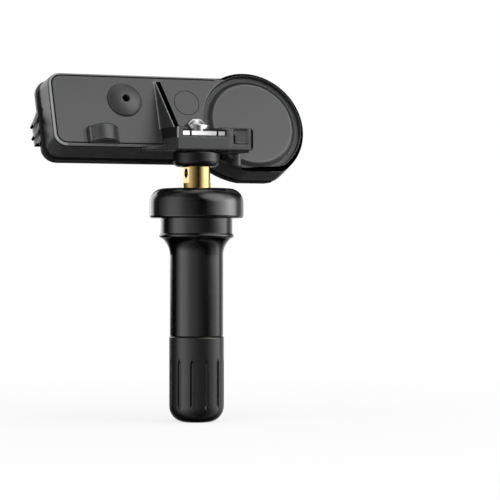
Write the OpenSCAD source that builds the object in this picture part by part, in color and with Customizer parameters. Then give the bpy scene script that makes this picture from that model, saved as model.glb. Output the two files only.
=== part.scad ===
// Tire pressure monitor: a wheel sensor screwed to the inner end of a snap-in rubber tyre valve.
// All sizes are millimetres. The origin is on the valve axis at the flange face that seals
// against the wheel rim. Z runs up the valve into the tyre, so the dust cap hangs toward -Z.
// The sensor's long side lies along X with its battery end at +X, and its face looks toward -Y.

/* [Sensor case] */
// Lean of the sensor face back from the valve axis, in degrees
case_tilt = 20.7; // [18:0.1:23]
// Distance from the origin to the plane of the sensor face
face_offset = 1.5; // [1.2:0.05:1.8]
// Reach of the case from the valve axis to its square end
bar_reach = 28.45; // [27:0.05:34]
// Height up the face at which the case starts
bar_low = 14.9; // [14.7:0.05:15.4]
// Height of the case's long face
bar_height = 16; // [15.8:0.1:17]
// Depth of the front shell behind the face
shell_depth = 7.2; // [7:0.1:10]
// Thickness of the back cover
cover_thick = 1.5; // [1.2:0.1:2.4]
// Wall thickness of the case
wall = 1.2; // [1:0.05:1.4]
// Radius of the case's square-end corners
corner_r = 2.6; // [2.2:0.1:3]
// Edge bevel round the long face
face_bevel = 0.5; // [0.3:0.05:0.7]

/* [Battery end] */
// Distance from the valve axis to the centre of the battery end
drum_x = 14.75; // [14.5:0.05:16.5]
// Height up the face to the centre of the battery end
drum_height = 20.7; // [20.5:0.05:21.2]
// Outer radius of the battery end
drum_r = 11.8; // [11.8:0.05:12.3]
// Distance from the battery end's centre to the flat on its lower side
drum_flat = 10.25; // [10.2:0.05:10.6]
// Outer radius of the ring groove in the battery end
groove_r = 10.7; // [10.4:0.05:10.9]
// Depth of the ring groove
groove_depth = 0.8; // [0.5:0.05:0.9]
// Diameter of the coin cell
cell_d = 20; // [16:0.1:20]
// Thickness of the coin cell
cell_thick = 3.2; // [2.5:0.1:3.4]

/* [Pressure port] */
// Distance of the port from the valve axis, toward the square end
port_reach = 12.77; // [11:0.05:14]
// Height up the face to the port's centre
port_height = 25.1; // [24.6:0.05:25.4]
// Base diameter of the raised port
port_d = 7.12; // [6:0.02:7.6]
// Rise of the port above the face
port_rise = 1.1; // [0.8:0.05:1.4]
// Diameter of the air hole
port_hole_d = 1.5; // [1:0.02:1.6]

/* [Bracket] */
// Half width of the bracket block round the screw
bracket_half = 5.75; // [5.6:0.05:6.2]
// Reach of the bracket's front face from the valve axis
bracket_front = 4.5; // [4.4:0.05:5]
// Height of the bracket's underside above the rim seat
bracket_low = 13.65; // [13.5:0.05:13.8]
// Height of the seat under the square washer
washer_seat = 16.45; // [16.2:0.05:16.7]
// Height of the bracket's top above the rim seat
bracket_top = 18.15; // [17.9:0.05:18.8]
// Width of the open pocket over the washer for the screw's head
pocket_w = 7; // [6:0.1:8]
// Reach of the bracket's side arm toward the battery end
arm_reach = 10.6; // [10.2:0.05:11.4]
// Thickness of the gusset rib
rib_thick = 1.2; // [1:0.05:1.6]
// Height up the face to the point of the gusset rib
rib_height = 29.5; // [27:0.1:29.8]

/* [Washer and screw] */
// Width of the square washer
washer_w = 9; // [8:0.05:9]
// Depth of the square washer, front to back
washer_l = 8.4; // [7.6:0.05:8.4]
// Thickness of the square washer
washer_thick = 1; // [0.8:0.05:1.2]
// Diameter of the screw's thread
screw_d = 3; // [2.5:0.05:3.1]
// Length of the screw under its head
screw_len = 6.6; // [6:0.1:6.8]
// Diameter of the screw head's rim
head_d = 4.95; // [4.4:0.05:5.4]
// Height of the screw head
head_h = 2.55; // [2.3:0.05:2.8]

/* [Valve] */
// Diameter of the rubber flange
flange_d = 19; // [18:0.1:20]
// Thickness of the rubber flange
flange_h = 6; // [5:0.1:6.4]
// Diameter of the neck that fills the rim hole
neck_d = 14.5; // [13.5:0.05:14.6]
// Length of the neck
neck_len = 3.1; // [2.4:0.05:4]
// Diameter of the snap lip below the neck
lip_d = 15.1; // [14.9:0.05:15.6]
// Diameter of the rubber stem
stem_d = 10.8; // [10.2:0.05:11.2]
// Length of rubber from the rim seat to the cap
stem_len = 23.7; // [21:0.1:26]
// Diameter of the brass between sensor and flange
brass_d = 5.76; // [5.5:0.02:5.9]
// Width across the two flats milled on the brass
brass_flats = 4.48; // [4.3:0.02:4.8]
// Diameter of the air hole across the flats
cross_d = 1.94; // [1.6:0.02:2.2]
// Outer diameter of the cap thread on the brass
thread_d = 7.7; // [7.5:0.02:7.8]
// Pitch of the cap thread, 32 to the inch
thread_pitch = 0.794; // [0.7:0.002:0.9]
// Length of brass standing out of the rubber under the cap
thread_len = 11.8; // [11.4:0.1:13]
// Diameter of the black bush on the brass
bush_d = 9.4; // [9:0.05:9.8]
// Height of the black bush
bush_h = 2.95; // [2.6:0.05:3.1]

/* [Cap] */
// Diameter of the dust cap
cap_d = 11.05; // [10.8:0.05:12]
// Length of the dust cap
cap_len = 17.25; // [17:0.05:19]
// Radius of the cap's rounded end
cap_round = 3.2; // [2.6:0.1:3.6]
// Number of grip grooves round the cap
groove_count = 12; // [8:1:16]
// Width of a grip groove
grip_w = 0.8; // [0.6:0.02:1]
// Length of a grip groove
grip_len = 10.3; // [8:0.1:11]
// Turns that free the cap from the thread
cap_turns = 8; // [5:0.5:8]

/* [Valve core] */
// Thread diameter of the valve core's plug
core_d = 5.08; // [4.9:0.02:5.2]
// Diameter of the core's pin
pin_d = 1.44; // [1.3:0.02:1.5]
// Travel of the pin when pressed
pin_travel = 1.2; // [0.8:0.05:1.3]
// Wire width of the core's spring
spring_wire = 0.26; // [0.2:0.01:0.28]
// Turns of the core's spring
spring_turns = 4; // [3:0.5:5]

/* [Hidden] */
$fn = 96;
hull_fn = 32;
cut = 0.1;               // overshoot of a cutter past the face it opens
sink = 0.6;              // depth a joined feature runs into the wall it stands on
bond_gap = 0.02;         // gap between pieces that are clamped, moulded or soldered together
thread_gap = 0.06;       // radial gap of a screwed fit
run_gap = 0.08;          // radial gap of a running fit
fine_gap = 0.15;         // gap between pieces laid in a pocket

face_sin = sin(case_tilt);
face_cos = cos(case_tilt);
// Y of the face plane at height z
function face_y(z) = (z * face_sin - face_offset) / face_cos;
// World position (Y, Z) of a point at height w up the face
function face_point(w) = [w * face_sin - face_offset * face_cos, w * face_cos + face_offset * face_sin];

bar_top = bar_low + bar_height;
drum_top = drum_height + drum_r;
drum_low = drum_height - drum_flat;
drum_round = 1.4;        // rounding of the battery end's front edge
under_r = 15;            // radius of the battery end's lower side toward the bracket
under_x = 0.75;          // distance of that arc's centre past the battery end's centre
under_dip = 0.2;         // how far that arc would pass below the flat
drum_step = 0.2;         // how far the cover lies inside the shell at the battery end
drum_wall = 0.9;
rear_drop = 0.3;         // drop of the case's rear top edge under the battery end's top
bar_rear_top = drum_top - rear_drop;
bar_lean = (bar_rear_top - bar_top) / (shell_depth - face_bevel);  // rise of the top wall per depth
groove_w = 0.85;         // width of the ring groove's floor
groove_slope = 1.15;     // width of the slope from that floor up to the disc
disc_drop = 0.06;        // drop of the flat disc below the groove's outer rim
skin = 1.4;              // thickness of the case behind its long face
face_in = -skin;
disc_skin = 1;           // thickness left under the ring groove
drum_in = -groove_depth - disc_skin;
seam = 0.5;              // height of the shadow gap between shell and cover
band_h = 1;              // height of the seal's band outside the shell's rear edge
band_in = 0.4;           // depth of the rebate for it
band_out = 0.12;         // how far the band lies inside the shell's outside
band_low = -shell_depth + band_h;
band_top = bar_rear_top - bar_lean * band_h;
rim_out = 0.4;           // overhang of the cover's rim past the square end
rim_low = 0.2;           // overhang of the cover's rim past the lower side
cover_back = -shell_depth - cover_thick;
lip_h = 0.9;             // height of the cover's lip inside the shell
lip_w = 0.8;
latch_pitch = 2.6;
latch_rise = 7.1;        // height of the first latch slot above the case's lower side
latch_w = 0.8;
latch_h = 0.7;

cell_gap = 0.1;
cell_r = cell_d / 2;
cell_lift = max(0, cell_r + cell_gap - (drum_flat - drum_wall));
cell_w = drum_height + cell_lift;
tab_thick = 0.25;
cell_front = drum_in - tab_thick - 2 * bond_gap - cell_gap;
cell_rear = cell_front - cell_thick;

tab_w = 3;
tab_over = 2;            // reach of a tab past the middle of the cell
tab_step = 1.2;          // spacing of the tabs' legs, from the board's end

board_thick = 1;
board_depth = 3.6;       // depth of the board behind the face
board_front = -board_depth;
board_rear = board_front - board_thick;
board_gap = 0.6;
board_margin = wall + board_gap;
board_left = -bar_reach + board_margin;
board_clear = 0.8;       // gap between the board and the cell
board_reach = 3.6;
board_right = min(drum_x - cell_r - board_clear, board_reach);
board_low = bar_low + board_margin;
board_top = bar_top - board_margin;
peg_d = 1.6;
peg_in = 1.9;            // distance of the pegs from the board's edges
peg_shoulder = 0.5;      // width of the step that the board rests on
peg_tail = 0.5;          // length of peg that stands out behind the board

sensor_w = 4.4;
port_in = 0.6;           // depth of the pressure sensor's own port
seal_h = 0.7;
seal_d = 3.8;
seal_bore = 1.9;
sensor_front = face_in - seal_h - bond_gap;

coil_len = 7;
coil_w = 3;
coil_core_w = 1.4;
coil_end = 1.1;
coil_in = 3;             // distance of the coil from the board's square end
coil_rise = 2.6;         // height of the coil's middle above the board's lower edge
coil_x = board_left + coil_in + coil_len / 2;
coil_y = board_low + coil_rise;
part_depth = 1.8;        // depth behind the face that the taller board parts reach up to
part_top = -part_depth;
crystal_size = [3.2, 2.5, 0.8];
crystal_gap = 2.1;       // gap between the coil and the crystal
crystal_rise = 1.4;
chip_size = [5, 5, 0.9];
chip_from_port = 6;      // distance of the control chip from the port's middle
chip_rise = 2.2;
crystal_x = coil_x + coil_len / 2 + crystal_gap;
chip_x = -port_reach + chip_from_port;
row_left = 1.4;          // distance the small chips' rows start left of the control chip
row_rise = 7.6;
row_pitch = 1.1;
antenna_in = 2.2;        // distance of the antenna's ends from the pegs
antenna_drop = 1;        // distance of the antenna below the board's upper edge

arm_round = 0.7;         // rounding of the side arm's free end
arm_in = 0.2;            // how far the side arm's front lies behind the bracket's
brass_top = bracket_low - bond_gap;
boss_h = 0.35;           // height of the round boss that presses on the bush
bush_top = bracket_low - boss_h;
bush_low = bush_top - bush_h;
bush_round = 1.1;
flat_rise = 1.05;        // height above the flange at which the brass's flats start
flat_low = flange_h + flat_rise;
cross_rise = 3.05;       // height of the cross hole above the flange
cross_z = flange_h + cross_rise;
air_d = 2.6;
air_over = 0.9;          // length of the air bore past the middle of the cross hole
air_top = cross_z + air_over;
thread_in = 3.6;         // length of the brass's thick part inside the rubber
thread_top = -stem_len + thread_in;
mouth_z = -stem_len - thread_len;
mouth_bevel = 0.4;
screw_low = washer_seat + washer_thick - screw_len;
screw_room = 0.3;        // depth of the screw's bore past its tip

core_bore = core_d / 2 + thread_gap;
plug_deep = 0.4;         // depth of the plug's face inside the mouth
plug_len = 2.8;
plug_face = mouth_z + plug_deep;
plug_in = plug_face + plug_len;
tube_r = 1.75;
tube_len = 5.4;
tube_end = plug_in + tube_len;
seat_r = 2.15;           // bore that the gasket seals in
seat_slope = 0.6;        // length of the step from that bore down to the chamber
gasket_rise = 0.5;
gasket_h = 2.2;
gasket_taper = 0.1;
gasket_low = plug_in + gasket_rise;
cup_h = 0.98;
cup_r = 1.52;
chamber_r = 1.95;
chamber_room = 1;        // room above the cup when the pin is pressed
chamber_top = tube_end + cup_h + pin_travel + chamber_room;
key_w = 2.6;             // width across the two flats that take a core key
key_h = 1.4;
spring_bore = 1.16;
spring_rise = 3.22;      // height of the spring's seat above the plug's face
spring_low = plug_face + spring_rise;
guide_len = 1.02;        // length of the tube's end that guides the pin
spring_top = tube_end - guide_len;
collar_h = 0.3;
collar_r = 1.04;
pin_deep = 0.25;         // depth of the pin's tip inside the mouth
pin_tip = mouth_z + pin_deep;
rivet_out = 0.35;        // overhang of the pin's riveted end over the cup
rivet_h = 0.3;
rivet_in = 0.05;

cap_gap = 0.15;
cap_top = -stem_len - cap_gap;
cap_low = cap_top - cap_len;
cap_bore = thread_d / 2 + run_gap;
skirt_out = 0.55;        // widening of the bore above the cap's thread
cap_entry = cap_bore + skirt_out;
lead_in = 0.2;
cap_thread_len = cap_turns * thread_pitch + lead_in;
cap_seal_h = 1.3;
cap_seal_in = 0.46;      // width of the seal's ring inside the brass's bore
cap_seal_gap = 0.05;
cap_end = mouth_z - cap_seal_gap - cap_seal_h - bond_gap;

// Cuts a plan outline in the frame of the face: x along the case, y up the face, z outward
module on_face() {
    rotate([90 - case_tilt, 0, 0]) translate([0, 0, face_offset]) children();
}

// Rectangle with round corners, given by its edges
module rounded_plan(left, low, right, top, r) {
    translate([left + r, low]) square([right - left - 2 * r, top - low]);
    translate([left, low + r]) square([right - left, top - low - 2 * r]);
    for (x = [left + r, right - r], y = [low + r, top - r]) translate([x, y]) circle(r, $fn = hull_fn);
}

// Outline of the long case, drawn in by inset, with its own top edge
module bar_plan(inset, top) {
    rounded_plan(-bar_reach + inset, bar_low + inset, drum_x, top - inset, max(corner_r - inset, 0.4));
}

// Outline of the battery end, drawn in by inset, with the flat on its lower side
module drum_plan(inset) {
    intersection() {
        translate([drum_x, drum_height]) circle(drum_r - inset);
        translate([drum_x - drum_r, drum_low + inset]) square([2 * drum_r, 3 * drum_r]);
        union() {
            translate([drum_x + under_x, drum_low - under_dip + under_r]) circle(under_r - inset);
            translate([drum_x + under_x, drum_low]) square([2 * drum_r, 3 * drum_r]);
        }
    }
}

// Outline of the whole case; the battery end can be drawn in further than the long case
module case_plan(inset, top, drum_in = 0) {
    bar_plan(inset, top);
    drum_plan(inset + drum_in);
}

module plate(z, h) {
    translate([0, 0, z]) linear_extrude(h) children();
}

// Long part of the shell: bevelled front, top wall leaning out toward the cover
module bar_block() {
    thin = 0.01;
    hull() {
        plate(-thin, thin) bar_plan(face_bevel, bar_top);
        plate(-face_bevel - thin, thin) bar_plan(0, bar_top);
        plate(-shell_depth, thin) bar_plan(0, bar_rear_top);
    }
}

// Profile of the shell's depth whose front edge is rounded at x = reach
module rounded_edge(reach) {
    translate([0, -shell_depth]) square([reach, shell_depth - drum_round]);
    translate([0, -drum_round - cut]) square([reach - drum_round, drum_round + cut]);
    translate([reach - drum_round, -drum_round]) circle(drum_round);
}

// Round part of the shell, whose front edge is rounded along its flat and its lower side too
module drum_block() {
    deep = 2 * drum_r;   // reach of the blocks that only their lower edge shapes
    intersection() {
        translate([drum_x, drum_height]) rotate_extrude() rounded_edge(drum_r);
        translate([drum_x + deep, drum_low + deep]) rotate([90, 0, -90]) linear_extrude(2 * deep)
            rounded_edge(deep);
        union() {
            translate([drum_x + under_x, drum_low - under_dip + under_r])
                rotate_extrude() rounded_edge(under_r);
            plate(-shell_depth, shell_depth + cut)
                translate([drum_x + under_x, drum_low]) square([2 * drum_r, 3 * drum_r]);
        }
    }
}

// Ring groove with its inner side sloping up to the flat disc
module drum_groove() {
    disc_r = groove_r - groove_w;
    translate([drum_x, drum_height]) difference() {
        translate([0, 0, -groove_depth]) cylinder(r = groove_r, h = groove_depth + cut);
        translate([0, 0, -groove_depth - cut])
            cylinder(r1 = disc_r, r2 = disc_r - groove_slope, h = groove_depth + cut);
    }
    // keeps the groove's outer side standing proud of the flat disc
    translate([drum_x, drum_height, -disc_drop]) cylinder(r = groove_r, h = disc_drop + cut);
}

module case_cavity() {
    thin = 0.01;
    hull() {
        plate(face_in - thin, thin) bar_plan(wall, bar_top);
        plate(-shell_depth - cut, thin) bar_plan(wall, bar_rear_top);
    }
    plate(-shell_depth - cut, shell_depth + cut + drum_in) drum_plan(drum_wall);
}

module port_boss() {
    step = 0.25;
    r = port_d / 2;
    cap_h = port_rise - step;
    dome_r = (r * r + cap_h * cap_h) / (2 * cap_h);
    translate([-port_reach, port_height]) {
        translate([0, 0, -sink]) cylinder(r = r, h = sink + step);
        translate([0, 0, step]) intersection() {
            translate([0, 0, cap_h - dome_r]) sphere(dome_r);
            cylinder(r = r, h = cap_h);
        }
    }
}

// Rounded foot that keeps the case off the rim, near the square end
module foot() {
    from_end = 10.2;     // distance of the foot's middle from the square end
    rise = 0.45;
    len = 3.4;
    r = 2.9;
    centre_deep = 0.3;   // depth of the barrel's axis behind the face
    plinth_w = 6.2;
    plinth_h = 1;
    plinth_left = 3.25;
    translate([-bar_reach + from_end, bar_low + rise + len, 0]) rotate([90, 0, 0]) intersection() {
        union() {
            translate([0, -centre_deep, 0]) cylinder(r = r, h = len);
            translate([-plinth_left, -sink, 0]) cube([plinth_w, plinth_h + sink, len]);
        }
        translate([-plinth_w, -sink, 0]) cube([2 * plinth_w, r + sink, len]);
    }
}

// Upright profile in the YZ plane, given a thickness along X
module upright(x, t) {
    translate([x, 0, 0]) rotate([90, 0, 90]) linear_extrude(t) children();
}

// Block that reaches from the face out to the bracket's front
module bracket_block(x, w, low, top, front) {
    upright(x, w) polygon([[-front, low], [-front, top], [face_y(top) + sink, top],
                           [face_y(low) + sink, low]]);
}

module gusset() {
    ridge_in = 2.1;      // distance of the rib's edge behind the bracket's front
    tip = face_point(rib_height);
    ridge_y = -bracket_front + ridge_in;
    upright(-bracket_half, rib_thick) polygon([[ridge_y, bracket_low], [ridge_y, bracket_top], tip,
        [tip[0] + sink, tip[1] - sink], [face_y(bracket_low) + sink, bracket_low]]);
}

// Low step along the case's lower edge that runs into the bracket
module base_step() {
    reach = 4.6;         // length past the bracket's side
    out = 2.2;           // how far it stands out of the face
    end_h = 0.7;
    root_h = 1.45;
    left = -bracket_half - reach;
    right = -bracket_half + cut;
    translate([0, face_y(bracket_low) + 2 * sink, 0]) rotate([90, 0, 0]) linear_extrude(out + 2 * sink)
        polygon([[left, bracket_low], [right, bracket_low], [right, bracket_low + root_h],
                 [left, bracket_low + end_h]]);
}

// Side arm with rounded corners at its free end
module arm() {
    back = face_y(bracket_top) + 2 * sink;
    intersection() {
        bracket_block(0, arm_reach, bracket_low, bracket_top, bracket_front - arm_in);
        translate([0, back, 0]) rotate([90, 0, 0]) linear_extrude(back + bracket_front + cut) union() {
            translate([0, bracket_low]) square([arm_reach - arm_round, bracket_top - bracket_low]);
            translate([0, bracket_low + arm_round])
                square([arm_reach, bracket_top - bracket_low - 2 * arm_round]);
            for (z = [bracket_low + arm_round, bracket_top - arm_round])
                translate([arm_reach - arm_round, z]) circle(arm_round);
        }
    }
}

// Thin edge under the arm, the post behind it and the web that joins the two
module arm_foot() {
    edge_h = 0.42;
    edge_in = 0.6;       // distance of the edge behind the bracket's front
    edge_l = 6.1;
    edge_end = 0.8;      // distance of the edge from the arm's end
    edge_left = bush_d / 2 + 3 * fine_gap;
    post_r = 0.85;
    post_h = 3;
    post_left = 5.1;     // distance of the post from the battery end's middle
    post_y = 2.2;
    post_x = drum_x - post_left;
    web_w = 2.7;
    web_h = 1.7;
    web_t = 0.6;
    translate([edge_left, -bracket_front + edge_in, bracket_low - edge_h])
        cube([arm_reach - edge_end - edge_left, edge_l, edge_h + sink]);
    translate([post_x, post_y, bracket_low - post_h]) cylinder(r = post_r, h = post_h + sink);
    translate([post_x, post_y + web_t / 2, bracket_low]) rotate([90, 0, 0]) linear_extrude(web_t)
        polygon([[0, sink], [-post_r - web_w, sink], [-post_r - web_w, 0], [-post_r, -web_h], [0, -web_h]]);
}

module bracket() {
    boss_r = 4.3;
    slot_w = washer_w + 2 * fine_gap;
    slot_l = washer_l / 2 + fine_gap;
    hole_d = screw_d + 2 * fine_gap;
    window_side = 0.6;   // wall between the washer's block and the window
    window_end = 1;
    window_low = 1.3;
    window_top = 0.3;
    window_deep = 0.4;
    window_slope = 0.5;  // length over which the window's floor comes out to the front at its right side
    slit = [0.3, 1.1, 1.6];  // slit in the window's lower left corner
    window_left = bracket_half + window_side;
    window_w = arm_reach - window_end - window_left;
    difference() {
        union() {
            bracket_block(-bracket_half, 2 * bracket_half, bracket_low, bracket_top, bracket_front);
            arm();
            gusset();
            base_step();
        }
        // slot that takes the square washer from the front, and the screw's open pocket above it
        translate([-slot_w / 2, -bracket_front - cut, washer_seat])
            cube([slot_w, bracket_front + cut + slot_l, washer_thick + fine_gap]);
        translate([-pocket_w / 2, -bracket_front - cut, washer_seat])
            cube([pocket_w, bracket_front + cut + slot_l, bracket_top - washer_seat + cut]);
        translate([window_left, -bracket_front + arm_in, bracket_low + window_low])
            linear_extrude(bracket_top - bracket_low - window_low - window_top)
                polygon([[0, -cut], [window_w, -cut], [window_w, 0], [window_w - window_slope, window_deep],
                         [0, window_deep]]);
        translate([window_left + slit[0] / 2, -bracket_front + arm_in - cut,
                   bracket_low + window_low + cut]) cube(slit);
        translate([0, 0, bracket_low - cut]) cylinder(d = hole_d, h = bracket_top - bracket_low);
    }
    difference() {
        translate([0, 0, bush_top + bond_gap]) cylinder(r = boss_r, h = boss_h + sink - bond_gap);
        translate([0, 0, bush_top - cut]) cylinder(d = brass_d + 2 * fine_gap, h = boss_h + cut);
        translate([0, 0, bracket_low - cut]) cylinder(d = hole_d, h = sink + 2 * cut);
    }
    arm_foot();
}

// Front shell of the sensor case with its bracket, port and foot
module housing() {
    color("#5c5e60") {
        on_face() {
            difference() {
                union() {
                    bar_block();
                    drum_block();
                    port_boss();
                    foot();
                }
                drum_groove();
                case_cavity();
                translate([-port_reach, port_height, face_in - cut])
                    cylinder(d = port_hole_d, h = port_rise - face_in + 1, $fn = 48);
                latch_slots();
                seal_rebate();
            }
            pegs();
        }
        bracket();
    }
}

// Two slots in the square end for the cover's latches
module latch_slots() {
    for (i = [0, 1])
        translate([-bar_reach - cut, bar_low + latch_rise + i * latch_pitch, band_low - cut])
            cube([wall / 2 + cut, latch_w, latch_h + cut]);
}

// Rebate round the shell's rear edge for the band of the seal
module seal_rebate() {
    clear = 1;
    plate(-shell_depth - cut, band_h + cut) difference() {
        case_plan(-clear, bar_rear_top);
        case_plan(band_in, band_top, drum_step);
    }
}

// Pegs that locate the circuit board
module pegs() {
    for (x = [board_left + peg_in, board_right - peg_in]) translate([x, board_top - peg_in, 0]) {
        translate([0, 0, board_front])
            cylinder(d = peg_d + 2 * peg_shoulder, h = face_in - board_front + sink, $fn = 48);
        translate([0, 0, board_rear - peg_tail])
            cylinder(d = peg_d, h = board_thick + peg_tail + sink, $fn = 48);
    }
}

// Slanted saw teeth on a plinth at the square end of the cover
module cover_teeth() {
    first = 3.6;         // height of the plinth above the case's lower side
    top_tip = 4.2;       // height of the top tooth's tip above the plinth's lower end
    tooth = 2.6;
    out = 1.5;
    slope = 3.1;         // height over which a tooth runs back to the cover's rim
    blunt = [0.3, 0.4];  // blunt end of a tooth's tip
    bar_h = [2.1, 3.5];  // height of a tooth's lower and upper edge where it meets the rim
    under = 0.7;         // how far the teeth stand out behind the cover
    root = 0.2;
    plinth_out = 1.03;
    plinth_in = 1;
    plinth_top = top_tip + slope * (out - plinth_out) / out;
    plinth_thick = under + root;
    translate([-bar_reach - rim_out, bar_low + first, cover_back - under]) {
        linear_extrude(plinth_thick) polygon([[plinth_in, 0], [-plinth_out, 0],
            [-plinth_out, plinth_top], [0, top_tip + slope], [plinth_in, top_tip + slope]]);
        linear_extrude(cover_thick - seam + under) intersection() {
            for (i = [0 : 2]) translate([0, top_tip - i * tooth])
                polygon([[-out, 0], [-out + blunt[0], -blunt[1]], [root, bar_h[0]], [root, bar_h[1]]]);
            translate([-out, 0]) square([out + root, top_tip + bar_h[1]]);
        }
    }
}

// Rear cover with the lip that drops inside the shell
module back_cover() {
    rear = -shell_depth - seam;
    lip_in = wall + fine_gap;
    lip_top = bar_rear_top - bar_lean * (lip_h + seam);
    color("#3a3c3e") on_face() {
        difference() {
            plate(cover_back, rear - cover_back) {
                rounded_plan(-bar_reach - rim_out, bar_low - rim_low, drum_x, drum_top, corner_r + rim_out);
                drum_plan(band_out + drum_step);
            }
            drum_back_chamfer();
        }
        cover_teeth();
        plate(rear - bond_gap, lip_h + seam) difference() {
            case_plan(lip_in, lip_top);
            case_plan(lip_in + lip_w, lip_top);
        }
    }
}

// Takes the back edge of the battery end down to a chamfer
module drum_back_chamfer() {
    chamfer = 0.9;
    tall = chamfer + 3 * cut;
    translate([drum_x, drum_height, cover_back - cut]) difference() {
        cylinder(r = drum_r + 1, h = chamfer + cut);
        translate([0, 0, -cut]) cylinder(r1 = drum_r - chamfer - 2 * cut, r2 = drum_r + cut, h = tall);
        translate([-3 * drum_r, -2 * drum_r, -cut]) cube([3 * drum_r, 4 * drum_r, tall]);
    }
}

// Gasket that fills the gap between shell and cover
module cover_seal() {
    color("#161718") on_face() difference() {
        plate(-shell_depth - seam + bond_gap, band_h + seam - 2 * bond_gap)
            case_plan(band_out, band_top, drum_step);
        plate(-shell_depth - bond_gap, band_h + 1) case_plan(band_in - bond_gap, band_top, drum_step);
        plate(-shell_depth - seam, band_h) case_plan(wall + bond_gap, bar_rear_top);
    }
}

module circuit_board() {
    color("#1f6b3c") on_face() difference() {
        translate([board_left, board_low, board_rear])
            cube([board_right - board_left, board_top - board_low, board_thick]);
        for (x = [board_left + peg_in, board_right - peg_in])
            translate([x, board_top - peg_in, board_rear - cut])
                cylinder(d = peg_d + 2 * fine_gap, h = board_thick + 2 * cut, $fn = 48);
    }
}

module battery_cell() {
    can_round = 0.4;
    can_drop = 0.15;     // height of the negative cap above the can's edge
    ring_w = 1.1;        // width of the insulating ring round the negative cap
    color("#c9ccce") on_face() translate([drum_x, cell_w, cell_rear]) {
        translate([0, 0, can_round]) cylinder(r = cell_r, h = cell_thick - can_round - can_drop);
        cylinder(r1 = cell_r - can_round, r2 = cell_r, h = can_round);
        cylinder(r = cell_r - ring_w, h = cell_thick);
    }
}

// Welded strip from the cell's front face down to the board
module negative_tab() {
    z = cell_front + bond_gap;
    leg_x = board_right - tab_step;
    color("#b9bcbe") on_face() translate([leg_x, cell_w - tab_w / 2, 0]) {
        translate([0, 0, z]) cube([drum_x - leg_x + tab_over, tab_w, tab_thick]);
        translate([0, 0, board_front + bond_gap]) cube([tab_thick, tab_w, z - board_front]);
    }
}

// Welded strip from the cell's rear face up to the back of the board
module positive_tab() {
    z = cell_rear - bond_gap - tab_thick;
    leg_x = board_right - 2 * tab_step;
    color("#b9bcbe") on_face() translate([leg_x, cell_w - tab_w / 2, z]) {
        cube([drum_x - leg_x + tab_over, tab_w, tab_thick]);
        cube([tab_thick, tab_w, board_rear - bond_gap - z]);
    }
}

// Pressure sensor package with its port facing the case's air hole
module pressure_sensor() {
    color("#2b2d30") on_face() translate([-port_reach, port_height, 0]) difference() {
        translate([-sensor_w / 2, -sensor_w / 2, board_front + bond_gap])
            cube([sensor_w, sensor_w, sensor_front - board_front - bond_gap]);
        translate([0, 0, sensor_front - port_in]) cylinder(d = port_hole_d, h = port_in + cut, $fn = 48);
    }
}

module port_seal() {
    color("#7c3b2e") on_face() translate([-port_reach, port_height, sensor_front + bond_gap])
        difference() {
            cylinder(d = seal_d, h = seal_h - bond_gap, $fn = 64);
            translate([0, 0, -cut]) cylinder(d = seal_bore, h = seal_h + 2 * cut, $fn = 64);
        }
}

// Ferrite bobbin of the low-frequency wake-up coil
module ferrite_core() {
    h = part_top - board_front - bond_gap;
    color("#4a4744") on_face() translate([coil_x, coil_y, board_front + bond_gap]) {
        for (s = [-1, 1])
            translate([s * (coil_len - coil_end) / 2 - coil_end / 2, -coil_w / 2, 0])
                cube([coil_end, coil_w, h]);
        translate([-coil_len / 2 + cut, -coil_core_w / 2, (h - coil_core_w) / 2])
            cube([coil_len - 2 * cut, coil_core_w, coil_core_w]);
    }
}

module coil_winding() {
    h = part_top - board_front - bond_gap;
    turn_w = coil_w - 0.5;
    turn_h = h - 0.2;
    open = coil_core_w + 2 * bond_gap;
    len = coil_len - 2 * coil_end - 2 * bond_gap;
    color("#b5652c") on_face() translate([coil_x, coil_y, board_front + bond_gap + h / 2])
        difference() {
            cube([len, turn_w, turn_h], center = true);
            cube([len + cut, open, open], center = true);
        }
}

module control_chip() {
    color("#232528") on_face()
        translate([chip_x, board_low + chip_rise, board_front + bond_gap]) cube(chip_size);
}

module crystal() {
    lid_in = 0.2;
    size = crystal_size;
    color("#cfd2d4") on_face()
        translate([crystal_x, board_low + crystal_rise, board_front + bond_gap]) {
            cube([size[0], size[1], size[2] / 2]);
            translate([lid_in, lid_in, 0]) cube([size[0] - 2 * lid_in, size[1] - 2 * lid_in, size[2]]);
        }
}

// Ceramic chips soldered in two rows
module chip_parts() {
    size = [1, 0.5, 0.5];
    pitch = 1.5;
    rows = 2;
    per_row = 5;
    color("#b99a6b") on_face()
        for (i = [0 : per_row - 1], j = [0 : rows - 1])
            translate([chip_x - row_left + i * pitch, board_low + row_rise + j * row_pitch,
                       board_front + bond_gap]) cube(size);
}

// Flat metal loop along the board's upper edge
module antenna_loop() {
    left = board_left + peg_in + antenna_in;
    right = board_right - peg_in - antenna_in;
    y = board_top - antenna_drop;
    leg = 0.8;
    thick = 0.3;
    h = part_top - board_front;
    color("#d3c9a8") on_face() {
        translate([left, y, part_top - leg]) cube([right - left, thick, leg]);
        for (x = [left, right - leg])
            translate([x, y, board_front + bond_gap]) cube([leg, thick, h - bond_gap]);
    }
}

// Black bush clamped between the bracket and the valve
module stem_bush() {
    bore = brass_d / 2 + bond_gap;
    r = bush_d / 2;
    top_round = 0.3;
    color("#151617") rotate_extrude() difference() {
        union() {
            translate([0, bush_low]) square([r - bush_round, bush_h]);
            translate([0, bush_low + bush_round]) square([r, bush_h - bush_round - top_round]);
            translate([0, bush_top - 2 * top_round]) square([r - top_round, 2 * top_round]);
            translate([r - bush_round, bush_low + bush_round]) circle(bush_round);
            translate([r - top_round, bush_top - top_round]) circle(top_round);
        }
        translate([-1, bush_low - 1]) square([1 + bore, bush_h + 2]);
    }
}

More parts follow.
